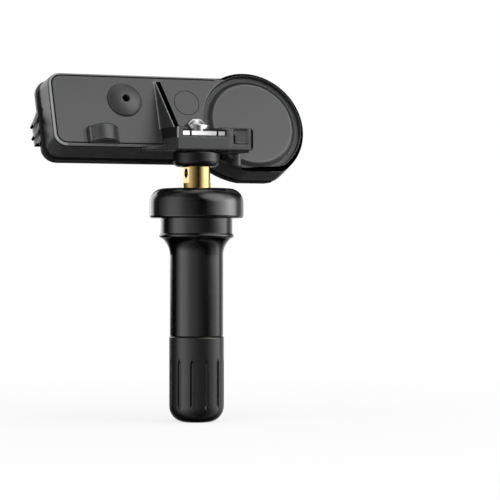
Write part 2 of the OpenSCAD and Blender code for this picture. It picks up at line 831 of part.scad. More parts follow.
// Square plate that spreads the screw's load, with two notches in its front and rear edges
module washer_plate() {
    notch = [0.42, 0.6];
    notch_in = 1.63;     // distance of a notch's middle from the washer's side
    notch_x = washer_w / 2 - notch_in;
    hole_d = screw_d + 2 * fine_gap;
    color("#d9dbdc") difference() {
        translate([-washer_w / 2, -washer_l / 2, washer_seat + bond_gap])
            cube([washer_w, washer_l, washer_thick - bond_gap]);
        for (sx = [-1, 1], sy = [-1, 1])
            translate([sx * notch_x - notch[0] / 2,
                       sy * (washer_l / 2 + cut) - (sy > 0 ? notch[1] + cut : 0), washer_seat])
                cube([notch[0], notch[1] + cut, washer_thick + cut]);
        translate([0, 0, washer_seat - cut]) cylinder(d = hole_d, h = washer_thick + 2 * cut);
    }
}

// Six-lobe screw: flared head with a coned top, plain shank at the thread's outer diameter
module torx_screw() {
    base = washer_seat + washer_thick + bond_gap;
    flare_h = 1.1;       // height of the cone from the washer up to the head's rim
    rim_h = 0.2;
    rim_z = base + flare_h;
    dome_h = head_h - flare_h - rim_h;
    foot_r = 0.77 * head_d / 2;
    crown_r = 0.42 * head_d / 2;
    point_h = 0.4;
    drive_h = 1.3;
    lobe_r = 0.27;
    lobe_at = 0.66;
    color("#e2e4e5") difference() {
        union() {
            translate([0, 0, base]) cylinder(r1 = foot_r, r2 = head_d / 2, h = flare_h);
            translate([0, 0, rim_z]) cylinder(d = head_d, h = rim_h);
            translate([0, 0, rim_z + rim_h]) cylinder(r1 = head_d / 2, r2 = crown_r, h = dome_h);
            translate([0, 0, screw_low + point_h]) cylinder(d = screw_d, h = base - screw_low);
            translate([0, 0, screw_low]) cylinder(d1 = screw_d - 2 * point_h, d2 = screw_d, h = point_h);
        }
        translate([0, 0, base + head_h - drive_h]) {
            cylinder(r = lobe_at, h = drive_h + cut, $fn = 48);
            for (i = [0 : 5])
                rotate(i * 60) translate([lobe_at, 0, 0]) cylinder(r = lobe_r, h = drive_h + cut, $fn = 24);
        }
    }
}

// Outside of the turned brass, grown by gap for the rubber's bore
module brass_outline(gap) {
    anchors = 3;
    anchor_pitch = 4;
    anchor_deep = 2.2;   // depth of the first anchor ring under the flange's top
    anchor_out = 0.5;
    anchor_h = 1.2;
    r = thread_d / 2 + gap;
    translate([0, mouth_z + mouth_bevel]) square([r, thread_top - mouth_z - mouth_bevel]);
    translate([0, mouth_z]) square([brass_d / 2 + gap, brass_top - mouth_z]);
    polygon([[0, mouth_z], [r - mouth_bevel, mouth_z], [r, mouth_z + mouth_bevel],
             [0, mouth_z + mouth_bevel]]);
    for (i = [0 : anchors - 1])
        translate([0, flange_h - anchor_deep - anchor_h - i * anchor_pitch])
            square([brass_d / 2 + anchor_out + gap, anchor_h]);
}

module brass_stem() {
    flat_at = brass_flats / 2;
    screw_bore = screw_d / 2 + thread_gap / 2;
    slope_low = tube_end - seat_slope - cut;
    slope_top = tube_end - cut;
    color("#c9a24a") difference() {
        rotate_extrude() difference() {
            brass_outline(0);
            translate([0, mouth_z - cut]) square([core_bore, plug_in - mouth_z + 2 * cut]);
            translate([0, mouth_z]) square([seat_r, slope_low - mouth_z]);
            polygon([[0, slope_low - cut], [seat_r, slope_low - cut], [seat_r, slope_low],
                     [chamber_r, slope_top], [0, slope_top]]);
            translate([0, mouth_z]) square([chamber_r, chamber_top - mouth_z]);
            translate([0, chamber_top - cut]) square([air_d / 2, air_top - chamber_top + cut]);
            translate([0, screw_low - screw_room]) square([screw_bore, brass_top - screw_low + 1]);
        }
        for (s = [0, 180]) rotate(s) translate([flat_at, -brass_d, flat_low])
            cube([brass_d, 2 * brass_d, brass_top - flat_low + cut]);
        translate([0, 0, cross_z]) rotate([0, 90, 0])
            cylinder(d = cross_d, h = 2 * brass_d, center = true, $fn = 64);
    }
}

// Rubber valve body: flange, neck, snap lip, flare and stem, bonded round the brass
module rubber_body() {
    top_r = 2.8;
    edge = 0.5;
    lip_r = 0.45;
    lip_low = 0.15;      // length of the lip's lower side before the flare starts
    flare_len = 3.7;
    r = flange_d / 2;
    lip_z = -neck_len - lip_r;
    flare_top = lip_z - lip_low;
    flare_low = flare_top - flare_len;
    drop = (lip_d - stem_d) / 2;
    arc_r = (drop * drop + flare_len * flare_len) / (2 * drop);
    color("#141516") rotate_extrude() difference() {
        union() {
            translate([0, edge]) square([r, flange_h - top_r - edge]);
            square([r - edge, flange_h - top_r]);
            translate([r - edge, edge]) circle(edge);
            square([r - top_r, flange_h]);
            translate([r - top_r, flange_h - top_r]) circle(top_r);
            translate([0, -neck_len - cut]) square([neck_d / 2, neck_len + 2 * cut]);
            translate([0, flare_top]) square([lip_d / 2 - lip_r, 2 * lip_r]);
            translate([lip_d / 2 - lip_r, lip_z]) circle(lip_r);
            difference() {
                translate([0, flare_low]) square([lip_d / 2 - lip_r / 8, flare_len]);
                translate([stem_d / 2 + arc_r, flare_low]) circle(arc_r);
            }
            translate([0, -stem_len]) square([stem_d / 2, stem_len - neck_len]);
        }
        brass_outline(bond_gap);
        translate([-r - 1, -stem_len - 1]) square([r + 1, stem_len + flange_h + 2]);
    }
}

// Plug and tube of the valve core
module core_barrel() {
    pin_bore = pin_d / 2 + run_gap;
    color("#c8a860") difference() {
        union() {
            translate([0, 0, plug_face]) cylinder(d = core_d, h = plug_len);
            translate([0, 0, plug_in - cut]) cylinder(r = tube_r, h = tube_len + cut);
        }
        translate([0, 0, plug_face - cut])
            cylinder(r = spring_bore, h = spring_top - plug_face + cut, $fn = 64);
        translate([0, 0, spring_top - cut]) cylinder(r = pin_bore, h = guide_len + 2 * cut, $fn = 64);
        for (s = [0, 180]) rotate(s) translate([-core_d, key_w / 2, plug_face - cut])
            cube([2 * core_d, core_d, key_h + cut]);
    }
}

// Tapered gasket that seals the core in the brass
module core_gasket() {
    r = seat_r - bond_gap;
    color("#b8312f") translate([0, 0, gasket_low]) difference() {
        cylinder(r1 = r, r2 = r - gasket_taper, h = gasket_h, $fn = 64);
        translate([0, 0, -cut]) cylinder(r = tube_r + bond_gap, h = gasket_h + 2 * cut, $fn = 64);
    }
}

// Pin with the collar that the spring pushes on
module core_pin() {
    rivet_z = tube_end + cup_h - rivet_in;
    color("#d2b36c") {
        translate([0, 0, pin_tip]) cylinder(d = pin_d, h = tube_end + cup_h - pin_tip, $fn = 64);
        translate([0, 0, spring_low - bond_gap - collar_h]) cylinder(r = collar_r, h = collar_h, $fn = 64);
        translate([0, 0, rivet_z]) cylinder(r = pin_d / 2 + rivet_out, h = rivet_h, $fn = 64);
    }
}

// Rubber cup that closes the end of the core
module core_cup() {
    pin_bore = pin_d / 2 + bond_gap;
    color("#1d1e20") translate([0, 0, tube_end]) difference() {
        translate([0, 0, bond_gap]) cylinder(r = cup_r, h = cup_h - rivet_in - 2 * bond_gap, $fn = 64);
        translate([0, 0, -cut]) cylinder(r = pin_bore, h = cup_h + 2 * cut, $fn = 64);
    }
}

// Coil spring swept by twisting a ring sector up the core
module core_spring() {
    outer = spring_bore - run_gap;
    inner = pin_d / 2 + run_gap;
    len = spring_top - spring_low - 2 * bond_gap;
    sector = 360 * spring_turns * spring_wire / len;
    steps = 6;
    step = sector / steps;
    slices_per_turn = 18;
    end = 0.12;          // height of the closed ring at each end
    color("#b4b7ba") translate([0, 0, spring_low + bond_gap]) {
        linear_extrude(len, twist = -360 * spring_turns, slices = round(slices_per_turn * spring_turns),
                       $fn = 16)
            polygon([for (i = [0 : steps]) outer * [cos(i * step), sin(i * step)],
                     for (i = [steps : -1 : 0]) inner * [cos(i * step), sin(i * step)]]);
        for (z = [0, len - end]) translate([0, 0, z]) difference() {
            cylinder(r = outer, h = end, $fn = 48);
            translate([0, 0, -cut]) cylinder(r = inner, h = end + 2 * cut, $fn = 48);
        }
    }
}

// One grip groove with pointed ends
module grip_groove() {
    point = 0.9;         // length of each pointed end
    point_r = 0.02;
    drop = 4.35;         // distance of the groove's upper point from the cap's open end
    r = grip_w / 2;
    translate([cap_d / 2, 0, cap_top - drop - grip_len]) {
        translate([0, 0, point]) cylinder(r = r, h = grip_len - 2 * point, $fn = 24);
        cylinder(r1 = point_r, r2 = r, h = point, $fn = 24);
        translate([0, 0, grip_len - point]) cylinder(r1 = r, r2 = point_r, h = point, $fn = 24);
    }
}

module cap_shell() {
    r = cap_d / 2;
    rim = 0.25;
    color("#222325") difference() {
        rotate_extrude() difference() {
            union() {
                translate([0, cap_low + cap_round]) square([r, cap_len - cap_round - rim]);
                translate([0, cap_top - rim - cut]) square([r - rim, rim + cut]);
                translate([r - rim, cap_top - rim]) circle(rim);
                translate([0, cap_low]) square([r - cap_round, cap_len - rim]);
                translate([r - cap_round, cap_low + cap_round]) circle(cap_round);
            }
            translate([-r, cap_low - 1]) square([r, cap_len + 2]);
            translate([0, cap_end]) square([cap_bore, cap_top - cap_end + 1]);
            translate([0, mouth_z + cap_thread_len]) square([cap_entry, cap_top - mouth_z]);
        }
        for (i = [0 : groove_count - 1]) rotate(i * 360 / groove_count) grip_groove();
    }
}

// Rubber ring that seals the cap on the brass mouth
module cap_seal() {
    color("#2a2b2d") translate([0, 0, cap_end]) difference() {
        translate([0, 0, bond_gap]) cylinder(r = cap_bore - fine_gap, h = cap_seal_h);
        translate([0, 0, -cut]) cylinder(r = core_bore - cap_seal_in, h = cap_seal_h + 1, $fn = 64);
    }
}

housing();
back_cover();
cover_seal();
circuit_board();
battery_cell();
negative_tab();
positive_tab();
pressure_sensor();
port_seal();
ferrite_core();
coil_winding();
control_chip();
crystal();
chip_parts();
antenna_loop();
stem_bush();
washer_plate();
torx_screw();
brass_stem();
rubber_body();
core_barrel();
core_gasket();
core_pin();
core_cup();
core_spring();
cap_shell();
cap_seal();
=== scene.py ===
"""Looks, camera and stage for a tyre pressure sensor on its snap-in valve."""

import math

import bpy
import numpy as np
from bpy.props import FloatProperty, FloatVectorProperty, IntProperty, PointerProperty
from mathutils import Euler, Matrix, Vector
from mathutils.bvhtree import BVHTree


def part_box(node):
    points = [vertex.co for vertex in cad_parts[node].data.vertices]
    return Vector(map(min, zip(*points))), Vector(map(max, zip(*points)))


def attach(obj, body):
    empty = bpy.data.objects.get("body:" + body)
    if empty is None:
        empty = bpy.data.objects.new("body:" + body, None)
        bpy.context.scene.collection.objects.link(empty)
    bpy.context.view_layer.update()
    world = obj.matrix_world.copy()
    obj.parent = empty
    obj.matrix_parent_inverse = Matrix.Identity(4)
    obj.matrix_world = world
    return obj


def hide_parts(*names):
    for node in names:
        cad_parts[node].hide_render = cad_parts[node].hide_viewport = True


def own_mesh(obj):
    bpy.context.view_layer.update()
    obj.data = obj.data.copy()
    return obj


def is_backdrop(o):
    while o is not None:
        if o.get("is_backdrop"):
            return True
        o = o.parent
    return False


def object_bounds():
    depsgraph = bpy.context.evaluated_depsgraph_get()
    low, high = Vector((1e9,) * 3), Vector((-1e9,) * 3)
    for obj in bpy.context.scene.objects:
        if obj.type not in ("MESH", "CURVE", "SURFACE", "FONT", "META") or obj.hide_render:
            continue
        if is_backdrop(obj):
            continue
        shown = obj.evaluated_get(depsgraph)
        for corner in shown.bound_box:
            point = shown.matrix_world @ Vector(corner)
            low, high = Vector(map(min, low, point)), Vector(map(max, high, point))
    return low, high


bl_info = {
    "name": "Wheel sensor looks",
    "version": (1, 0, 0),
    "blender": (4, 5, 0),
    "location": "View3D > Sidebar > Wheel sensor",
    "description": "Dresses a packed tyre pressure sensor, and sets its camera and stage",
    "category": "Object",
}

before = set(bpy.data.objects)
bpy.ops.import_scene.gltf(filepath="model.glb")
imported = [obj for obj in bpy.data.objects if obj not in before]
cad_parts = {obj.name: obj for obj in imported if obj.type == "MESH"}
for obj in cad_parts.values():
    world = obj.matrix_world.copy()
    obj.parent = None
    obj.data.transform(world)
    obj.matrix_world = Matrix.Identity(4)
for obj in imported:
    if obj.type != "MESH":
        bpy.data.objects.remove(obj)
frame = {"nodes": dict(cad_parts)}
CAD_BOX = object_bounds()
MM = 0.001

# Image points in the photograph's 500 by 500 frame; None marks a side that a thing has no say in.
POINTS = {
    "case_left": (29.5, None),
    "case_right": (302.4, None),
    "case_top": (None, 72.0),
    "battery_end_low": (None, 182.6),
    "port_hole": (126.5, 98.3),
    "arm_corner": (253.5, 126.8),
    "screw_top": (198.5, 119.4),
    "washer_left": (183.9, None),
    "bush_left": (173.3, None),
    "cross_hole": (186.2, 173.4),
    "flange_left": (149.5, None),
    "flange_right": (243.6, None),
    "stem_end": (None, 335.3),
    "cap_low": (None, 421.4),
    "mould_ring": (186.6, 102.8),
}
FRAME_W, FRAME_H = 500, 500


# ---------------------------------------------------------------- sizes read from the frame

def node_mm(node):
    """Lowest and highest corner of a CAD node, in millimetres."""
    low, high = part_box(node)
    return Vector(low) / MM, Vector(high) / MM


def middle_mm(node):
    """Middle of a CAD node's box, in millimetres."""
    low, high = node_mm(node)
    return (low + high) / 2


HOUSING_LOW, HOUSING_HIGH = node_mm("housing")
RUBBER_LOW, _ = node_mm("rubber_body")
SCREW_LOW, SCREW_HIGH = node_mm("torx_screw")
WASHER_LOW, WASHER_HIGH = node_mm("washer_plate")
SCREW_RIM = WASHER_HIGH.z + 1.12    # height of the screw head's widest place
SPRING_LOW, SPRING_HIGH = node_mm("core_spring")
COIL_LOW, COIL_HIGH = node_mm("coil_winding")
FACE_TILT = math.radians(20.7)      # lean of the sensor face
FACE_UP = np.array((0.0, math.sin(FACE_TILT), math.cos(FACE_TILT)))
FACE_OUT = np.array((0.0, -math.cos(FACE_TILT), math.sin(FACE_TILT)))
FACE_OFFSET = 1.5                   # from the origin to the face's plane
BAR_LEFT, CORNER_R = -28.45, 2.6    # the long face's square end and its corners
BAR_MIDDLE, BAR_HALF = 22.9, 8.0    # height up the face of its middle, and half its height
DRUM_X, DRUM_W, DRUM_R = 14.75, 20.7, 11.8      # the battery end
DRUM_LOW = 10.45                    # height up the face of its flat
RIM_R = 10.8                        # from its middle to where its rounded front edge lies in shade
GROOVE_IN, GROOVE_R = 8.7, 10.7     # inner and outer radius of the ring groove in it
BRACKET_TOP, ARM_END = 18.15, 10.6  # the bracket's upper face and its arm's free end
RIDGE_LOW = (-2.4, BRACKET_TOP)     # y and z of the gusset ridge's lower end
RIDGE_HIGH = (9.02, 28.13)          # y and z of its upper end
RIB_LEFT, RIB_TOP = -5.75, 29.5     # left side of gusset and bracket, and the gusset's height up the face
COVER_RIM = 0.4                     # how far the cover's rim stands past the square end
CAP_PITCH = 0.794                   # pitch of the valve's cap thread
NOTCH_X = 2.87                      # from the axis to the middle of the washer's notches
CROSS_HOLE_Z, CROSS_HOLE_R = 9.05, 0.97   # the hole through the brass stem


# ---------------------------------------------------------------- shader expressions

class Wire:
    """A number socket that takes part in sums: each operator adds the Math node it stands for."""

    def __init__(self, nodes, socket):
        self.nodes = nodes
        self.socket = socket

    def math(self, operation, *others):
        return self.nodes.add("ShaderNodeMath", {"operation": operation}, self, *others)

    def __add__(self, other):
        return self.math("ADD", other)

    def __sub__(self, other):
        return self.math("SUBTRACT", other)

    def __rsub__(self, other):
        return self.nodes.add("ShaderNodeMath", {"operation": "SUBTRACT"}, other, self)

    def __mul__(self, other):
        return self.math("MULTIPLY", other)

    def __lt__(self, other):
        return self.math("LESS_THAN", other)

    def __gt__(self, other):
        return self.math("GREATER_THAN", other)

    __radd__ = __add__
    __rmul__ = __mul__

    def sin(self):
        return self.math("SINE")

    def clamp(self):
        return self.nodes.add("ShaderNodeClamp", {}, self)

    def between(self, low, high):
        """Spreads a wire that runs from 0 to 1 over low to high."""
        return self * (high - low) + low


class Nodes:
    """A node tree that is filled by expressions. Lengths in its patterns are millimetres."""

    def __init__(self, tree):
        self.tree = tree
        tree.nodes.clear()

    def join(self, value, socket):
        """Links a wire to a socket, or sets the socket to a number, vector or colour."""
        if isinstance(value, Wire):
            self.tree.links.new(value.socket, socket)
        elif hasattr(socket.default_value, "__len__") and len(value) < len(socket.default_value):
            socket.default_value = (*value, 1.0)
        else:
            socket.default_value = value

    def add(self, kind, settings, *values, out=0, **named):
        """Adds a node: first its settings, then its sockets in order or by name."""
        node = self.tree.nodes.new(kind)
        for key, value in settings.items():
            if key == "stops":
                stops = node.color_ramp.elements
                while len(stops) < len(value):
                    stops.new(0.5)
                for stop, (place, level) in zip(stops, value):
                    stop.position, stop.color = place, (level, level, level, 1.0)
            else:
                setattr(node, key, value)
        for socket, value in zip(node.inputs, values):
            self.join(value, socket)
        for key, value in named.items():
            self.join(value, node.inputs[key.replace("_", " ")])
        return Wire(self, node.outputs[out])

    def ramp(self, value, *stops):
        return self.add("ShaderNodeValToRGB", {"stops": stops}, value)

    def dot(self, first, second):
        return self.add("ShaderNodeVectorMath", {"operation": "DOT_PRODUCT"}, first, second, out="Value")

    def parts(self, value):
        """The x, y and z of a vector."""
        node = self.tree.nodes.new("ShaderNodeSeparateXYZ")
        self.join(value, node.inputs[0])
        return [Wire(self, socket) for socket in node.outputs]

    def mix(self, factor, first, second):
        """Mixes two colours by a wire."""
        node = self.tree.nodes.new("ShaderNodeMix")
        node.data_type = "RGBA"
        for value, place in ((factor, 0), (first, 6), (second, 7)):
            self.join(value, node.inputs[place])
        return Wire(self, node.outputs[2])

    def output(self, kind, wire):
        node = self.tree.nodes.new(kind)
        self.join(wire, node.inputs["Surface"])
        return node


class Finish(Nodes):
    """One material on object coordinates, with a Principled surface."""

    def __init__(self, name):
        self.material = bpy.data.materials.new(name)
        self.material.use_nodes = True
        super().__init__(self.material.node_tree)
        self.surface = self.tree.nodes.new("ShaderNodeBsdfPrincipled")
        self.end = self.output("ShaderNodeOutputMaterial", Wire(self, self.surface.outputs["BSDF"]))

    def place(self, stretch=(1, 1, 1)):
        """Object coordinates in millimetres, each axis times its stretch."""
        where = self.add("ShaderNodeTexCoord", {}, out="Object")
        return self.add("ShaderNodeMapping", {}, where, Scale=tuple(s / MM for s in stretch))

    def axes(self):
        """The x, y and z of the place in millimetres."""
        return self.parts(self.place())

    def noise(self, size, detail=3.0, roughness=0.55, stretch=(1, 1, 1)):
        """Noise from 0 to 1 with grains about size millimetres across."""
        return self.add("ShaderNodeTexNoise", {"noise_dimensions": "3D"},
                        Vector=self.place(tuple(s / size for s in stretch)), Scale=1.0,
                        Detail=detail, Roughness=roughness)

    def rounded(self, radius):
        """The normal with edges rounded over radius, and how near an edge the place is, 0 to 1."""
        normal = self.add("ShaderNodeBevel", {"samples": 6}, Radius=radius * MM)
        flat = self.add("ShaderNodeNewGeometry", {}, out="Normal")
        return normal, ((1 - self.dot(normal, flat)) * 5.0).clamp()

    def bump(self, height, depth, under=None):
        """A normal from a height that rises depth millimetres from 0 to 1."""
        wires = {"Normal": under} if under else {}
        return self.add("ShaderNodeBump", {}, Strength=1.0, Distance=depth * MM, Height=height, **wires)

    def overlay(self, black):
        """Lays a lightless black over the surface where the wire is 1, as painted shade."""
        dark = self.add("ShaderNodeBsdfDiffuse", {}, Color=(0.001, 0.001, 0.001))
        shown = self.add("ShaderNodeMixShader", {}, black, Wire(self, self.surface.outputs["BSDF"]), dark)
        self.join(shown, self.end.inputs["Surface"])

    def done(self, **values):
        for key, value in values.items():
            self.join(value, self.surface.inputs[key.replace("_", " ")])
        return self.material


def shaded(colour, share):
    """A colour times share: darker under 1, lighter above it."""
    return tuple(min(1.0, c * share) for c in colour)


def within(value, low, high):
    """1 where a wire lies between low and high, else 0."""
    return (value > low) * (value < high)


# ---------------------------------------------------------------- finishes

def edge_highlight_and_shade(f, near_edge):
    """Where an edge gets a painted highlight and where its outermost line gets painted shade, from how near
    it is.
    """
    return (f.ramp(near_edge, (0.02, 0.0), (0.07, 0.45), (0.14, 0.45), (0.22, 0.0)),
            f.ramp(near_edge, (0.2, 0.0), (0.5, 0.85)))


def moulded_plastic(name, colour, highlight_colour, rough, grain, depth, edge, sheen=1.0, draft=0.0, marks=None):
    """Moulded plastic: spark-eroded grain, a slow drift of colour, a painted highlight along edges and
    painted shade on their outermost lines. The skin leans down by its mould's draft. marks adds wires for
    painted light over the body, painted highlight lines and painted shade lines."""
    f = Finish(name)
    drift, patches, grit = f.noise(11.0, 2.0), f.noise(2.4, 3.0), f.noise(grain, 4.0, 0.65)
    normal, near_edge = f.rounded(edge)
    pale, black = edge_highlight_and_shade(f, near_edge)
    level = drift * 0.45 + patches * 0.25 + grit * 0.3
    body = f.mix(level, shaded(colour, 0.72), shaded(colour, 1.3))
    if marks:
        painted_light, pale_mark, black_mark = marks(f)
        # Painted light: the body pales where the first of the marks' wires rises.
        body = f.mix(painted_light, body, shaded(colour, 2.2))
        black = (black * (1 - pale_mark)).math("MAXIMUM", black_mark)
        pale = pale.math("MAXIMUM", pale_mark)
    if draft:
        _, _, z = f.axes()
        normal = f.bump(z * draft, 1.0, normal)
    # Painted shade: a lightless black on the edges' outermost lines and on the marked shade lines.
    f.overlay(black)
    # Painted highlight: the base colour pales to the highlight colour along edges and marked lines.
    return f.done(
        Base_Color=f.mix(pale * (patches * 0.4 + 0.6), body, highlight_colour),
        Roughness=grit.between(rough - 0.06, rough + 0.1) * (1 - near_edge * 0.4),
        Specular_IOR_Level=sheen, Normal=f.bump(grit, depth, normal))


def face_inset(x, w):
    """How far a place lies inside the long face's round-cornered outline, less than 0 past it."""
    past_end = BAR_LEFT + CORNER_R - x
    past_side = (w - BAR_MIDDLE).math("ABSOLUTE") + (CORNER_R - BAR_HALF)
    across, up = past_end.math("MAXIMUM", 0.0), past_side.math("MAXIMUM", 0.0)
    inside = past_end.math("MAXIMUM", past_side).math("MINIMUM", 0.0)
    return CORNER_R - ((across * across + up * up).math("SQRT") + inside)


def bevel_lines(x, h, inset):
    """The long face's bevelled edge: a painted highlight, most of all at the square end, between two lines
    of painted shade.
    """
    pale = within(inset, 0.1, 0.48) * within(h, -0.6, 0.02)
    dark = within(inset, 0.5, 0.8) * within(h, -0.1, 0.03) + within(h, -0.72, -0.46) * (inset < 0.3)
    return pale * ((x < BAR_LEFT + CORNER_R) * 0.5 + 0.5), dark * 0.9


def battery_end_lines(x, w, h, from_middle):
    """The battery end's rounded front edge in painted shade, its ring groove in part painted shade, and a
    painted highlight line round its side. Along the flat the painted shade widens to the right, by 0.06 of
    the way."""
    side_x, flat_x = 3.0, 8.0           # where its side and its flat begin to show
    side = (from_middle > RIM_R) * (x > side_x)
    dark = within(h, -1.3, -0.1) * side * (from_middle < DRUM_R + 0.05)
    dark += within(h, -1.3, -0.25) * (x > flat_x) * (w < DRUM_LOW + 0.3 + (x - flat_x) * 0.06)
    dark += within(h, -2.0, -0.08) * within(from_middle, GROOVE_IN, GROOVE_R + 0.02) * 0.3
    return within(h, -1.5, -1.34) * side * 0.7, dark


def bracket_lines(x, y, z, w, h):
    """The gusset's ridge, the bracket's left side and its arm's end in painted shade. The gusset's left
    edges and the bracket's front left corner carry a painted highlight."""
    rise, run = RIDGE_HIGH[1] - RIDGE_LOW[1], RIDGE_HIGH[0] - RIDGE_LOW[0]
    off_ridge = ((y - RIDGE_LOW[0]) * rise - (z - RIDGE_LOW[1]) * run).math("ABSOLUTE")
    ridge = (off_ridge < 0.8) * (z > BRACKET_TOP) * (h > 0.05)
    left, block = x - RIB_LEFT, z < BRACKET_TOP + 0.1
    pale = ridge * within(left, -0.2, 0.13)
    pale += within(left, -0.2, 0.25) * (y < HOUSING_LOW.y + 0.35) * (z > BRACKET_TOP - 2.15) * block
    root = within(left, -0.3, -0.03) * within(h, -0.03, 0.04) * (z > BRACKET_TOP) * (w < RIB_TOP)
    dark = ridge * within(left, 0.2, 1.25)
    dark += within(left, -0.75, 0.05) * (h > 0.3) * (z > BRACKET_TOP - 2.05) * block * 0.65
    arm_end = within(x, ARM_END - 0.45, ARM_END + 0.1) * (y < HOUSING_LOW.y + 2) * block
    return pale + root * 0.7, dark * (1 - pale) + arm_end


def case_light_and_shade(f):
    """Painted light, painted highlight lines and painted shade lines of the housing. In the face's frame h
    stands off the face and w runs up it. The painted light grows downwards, from 2 mm under the housing's
    top to its whole at z = 10 mm."""
    x, y, z = f.axes()
    h = z * math.sin(FACE_TILT) - y * math.cos(FACE_TILT) - FACE_OFFSET
    w = y * math.sin(FACE_TILT) + z * math.cos(FACE_TILT)
    from_middle = ((x - DRUM_X) * (x - DRUM_X) + (w - DRUM_W) * (w - DRUM_W)).math("SQRT")
    bar = (from_middle > DRUM_R + 0.1) * (x < DRUM_X)
    bevel_pale, bevel_dark = bevel_lines(x, h, face_inset(x, w))
    end_pale, end_dark = battery_end_lines(x, w, h, from_middle)
    bracket_pale, bracket_dark = bracket_lines(x, y, z, w, h)
    # Painted light: the housing's colour pales towards its bottom.
    painted_light_top, painted_light_low = HOUSING_HIGH.z - 2, 10
    painted_light = ((painted_light_top - z) * (1 / (painted_light_top - painted_light_low))).clamp()
    pale = (bevel_pale * bar + end_pale + bracket_pale).clamp()
    return painted_light, pale, (bevel_dark * bar + end_dark + bracket_dark).clamp()


def cover_light_and_shade(f):
    """The cover's teeth and their plinth, past its dark rim, get painted light, with a painted highlight
    except on faces that lean down, which get painted shade.
    """
    x, _, _ = f.axes()
    _, _, lean = f.parts(f.add("ShaderNodeNewGeometry", {}, out="True Normal"))
    teeth, beneath = x < BAR_LEFT - COVER_RIM - 0.05, lean < -0.08
    return teeth, teeth * (1 - beneath), teeth * beneath


def glossy_rubber(name, colour, rough, sheen=1.0, draft=0.0):
    """Cured rubber: a glossy skin with faint flow waves, scuffs that dull it and specks of dust. Below the
    rim seat the skin leans down by its mould's draft, height = draft * z."""
    f = Finish(name)
    _, _, z = f.axes()
    waves, scuff = f.noise(6.0, 2.0), f.ramp(f.noise(1.7, 5.0, 0.7), (0.52, 0.0), (0.78, 1.0))
    specks = f.ramp(f.noise(0.3, 2.0), (0.72, 0.0), (0.8, 1.0))
    normal, near_edge = f.rounded(0.2)
    body = f.mix(waves, shaded(colour, 0.75), shaded(colour, 1.35))
    # Specks pale towards dust, and edges pale a little as a painted highlight.
    return f.done(
        Base_Color=f.mix(specks * 0.2 + near_edge * 0.05, body, (0.02, 0.02, 0.021)),
        Roughness=waves.between(rough - 0.03, rough + 0.04) + scuff * 0.07 + specks * 0.15,
        Specular_IOR_Level=sheen,
        Normal=f.bump(waves * 0.8 + scuff * 0.2, 0.006,
                      f.bump(z.math("MINIMUM", 0.0) * draft, 1.0, normal)))


def turned_brass(name, colour, dark, threaded=False):
    """Brass off the lathe: fine tool rings along Z, tarnish in patches and edges paler as a painted
    highlight. Under the rubber's end the cap thread stands as a helix, height = half of 1 + sin(2 pi z /
    pitch + angle)."""
    f = Finish(name)
    x, y, z = f.axes()
    rings = f.noise(1.0, 2.0, 0.6, stretch=(0.04, 0.04, 22.0))
    tarnish = f.ramp(f.noise(2.2, 4.0), (0.42, 0.0), (0.8, 1.0))
    normal, near_edge = f.rounded(0.12)
    body = f.mix(tarnish * 0.45, colour, dark)
    normal = f.bump(rings, 0.001, normal)
    if threaded:
        turn = f.add("ShaderNodeMath", {"operation": "ARCTAN2"}, y, x)
        on_thread = z < RUBBER_LOW.z
        crest = (z * (2 * math.pi / CAP_PITCH) + turn).sin() * 0.5 + 0.5
        normal = f.bump(crest * on_thread, 0.3, normal)
        body = f.mix((1 - crest) * on_thread * 0.5, body, shaded(dark, 0.5))
    return f.done(
        Base_Color=f.mix(near_edge * 0.4, body, shaded(colour, 1.25)), Metallic=1.0,
        Roughness=rings.between(0.1, 0.2) + tarnish * 0.08, Normal=normal)


def plated_metal(name, colour, rough, grain=0.5, stretch=(1, 1, 1), coned=None):
    """Plated steel or nickel: fine polishing marks, dull smudges and edges kept bright as a painted
    highlight. Below the height coned the skin stands up straighter than its cone, height = -0.7 * z."""
    f = Finish(name)
    marks, smudge = f.noise(grain, 3.0, 0.6, stretch), f.noise(1.9, 3.0)
    normal, near_edge = f.rounded(0.1)
    if coned:
        _, _, z = f.axes()
        normal = f.bump(z.math("MINIMUM", coned) * -0.7, 1.0, normal)
    return f.done(
        Base_Color=f.mix(smudge * 0.5 - near_edge * 0.3, colour, shaded(colour, 0.7)), Metallic=1.0,
        Roughness=marks.between(rough - 0.05, rough + 0.06) + smudge * 0.05,
        Normal=f.bump(marks, 0.0005, normal))


def pressed_washer(name, colour, rough, half, bow):
    """Plated washer that the press left bowed: height = bow * ((half - x) / (2 half) - 1/4) ** 2."""
    f = Finish(name)
    x, y, z = f.axes()
    across = (half - x) * (0.5 / half) - 0.25
    marks, smudge = f.noise(0.4, 3.0, 0.6, (0.4, 3, 3)), f.noise(1.9, 3.0)
    normal, near_edge = f.rounded(0.08)
    normal = f.bump(across * across, bow, normal)
    # Painted shade: a lightless black in the notches, and at 0.6 on the washer's top and bottom faces.
    slot = ((x.math("ABSOLUTE") - NOTCH_X).math("ABSOLUTE") < 0.22) * (y.math("ABSOLUTE") > 3.62)
    under = (z > WASHER_HIGH.z - 0.12) + (z < WASHER_LOW.z + 0.14)
    f.overlay((slot + under * 0.6).clamp())
    return f.done(
        Base_Color=f.mix(smudge * 0.4, colour, shaded(colour, 0.75)), Metallic=1.0,
        Roughness=marks.between(rough - 0.04, rough + 0.06) + near_edge * 0.1,
        Normal=f.bump(marks, 0.0005, normal))


def matt_rubber(name, colour):
    """Soft sealing rubber with a dusty bloom."""
    f = Finish(name)
    bloom, pores = f.noise(1.2, 3.0), f.noise(0.15, 2.0)
    normal, _ = f.rounded(0.08)
    return f.done(Base_Color=f.mix(bloom * 0.6, colour, shaded(colour, 2.2)),
                  Roughness=bloom.between(0.5, 0.72), Normal=f.bump(pores, 0.01, normal))


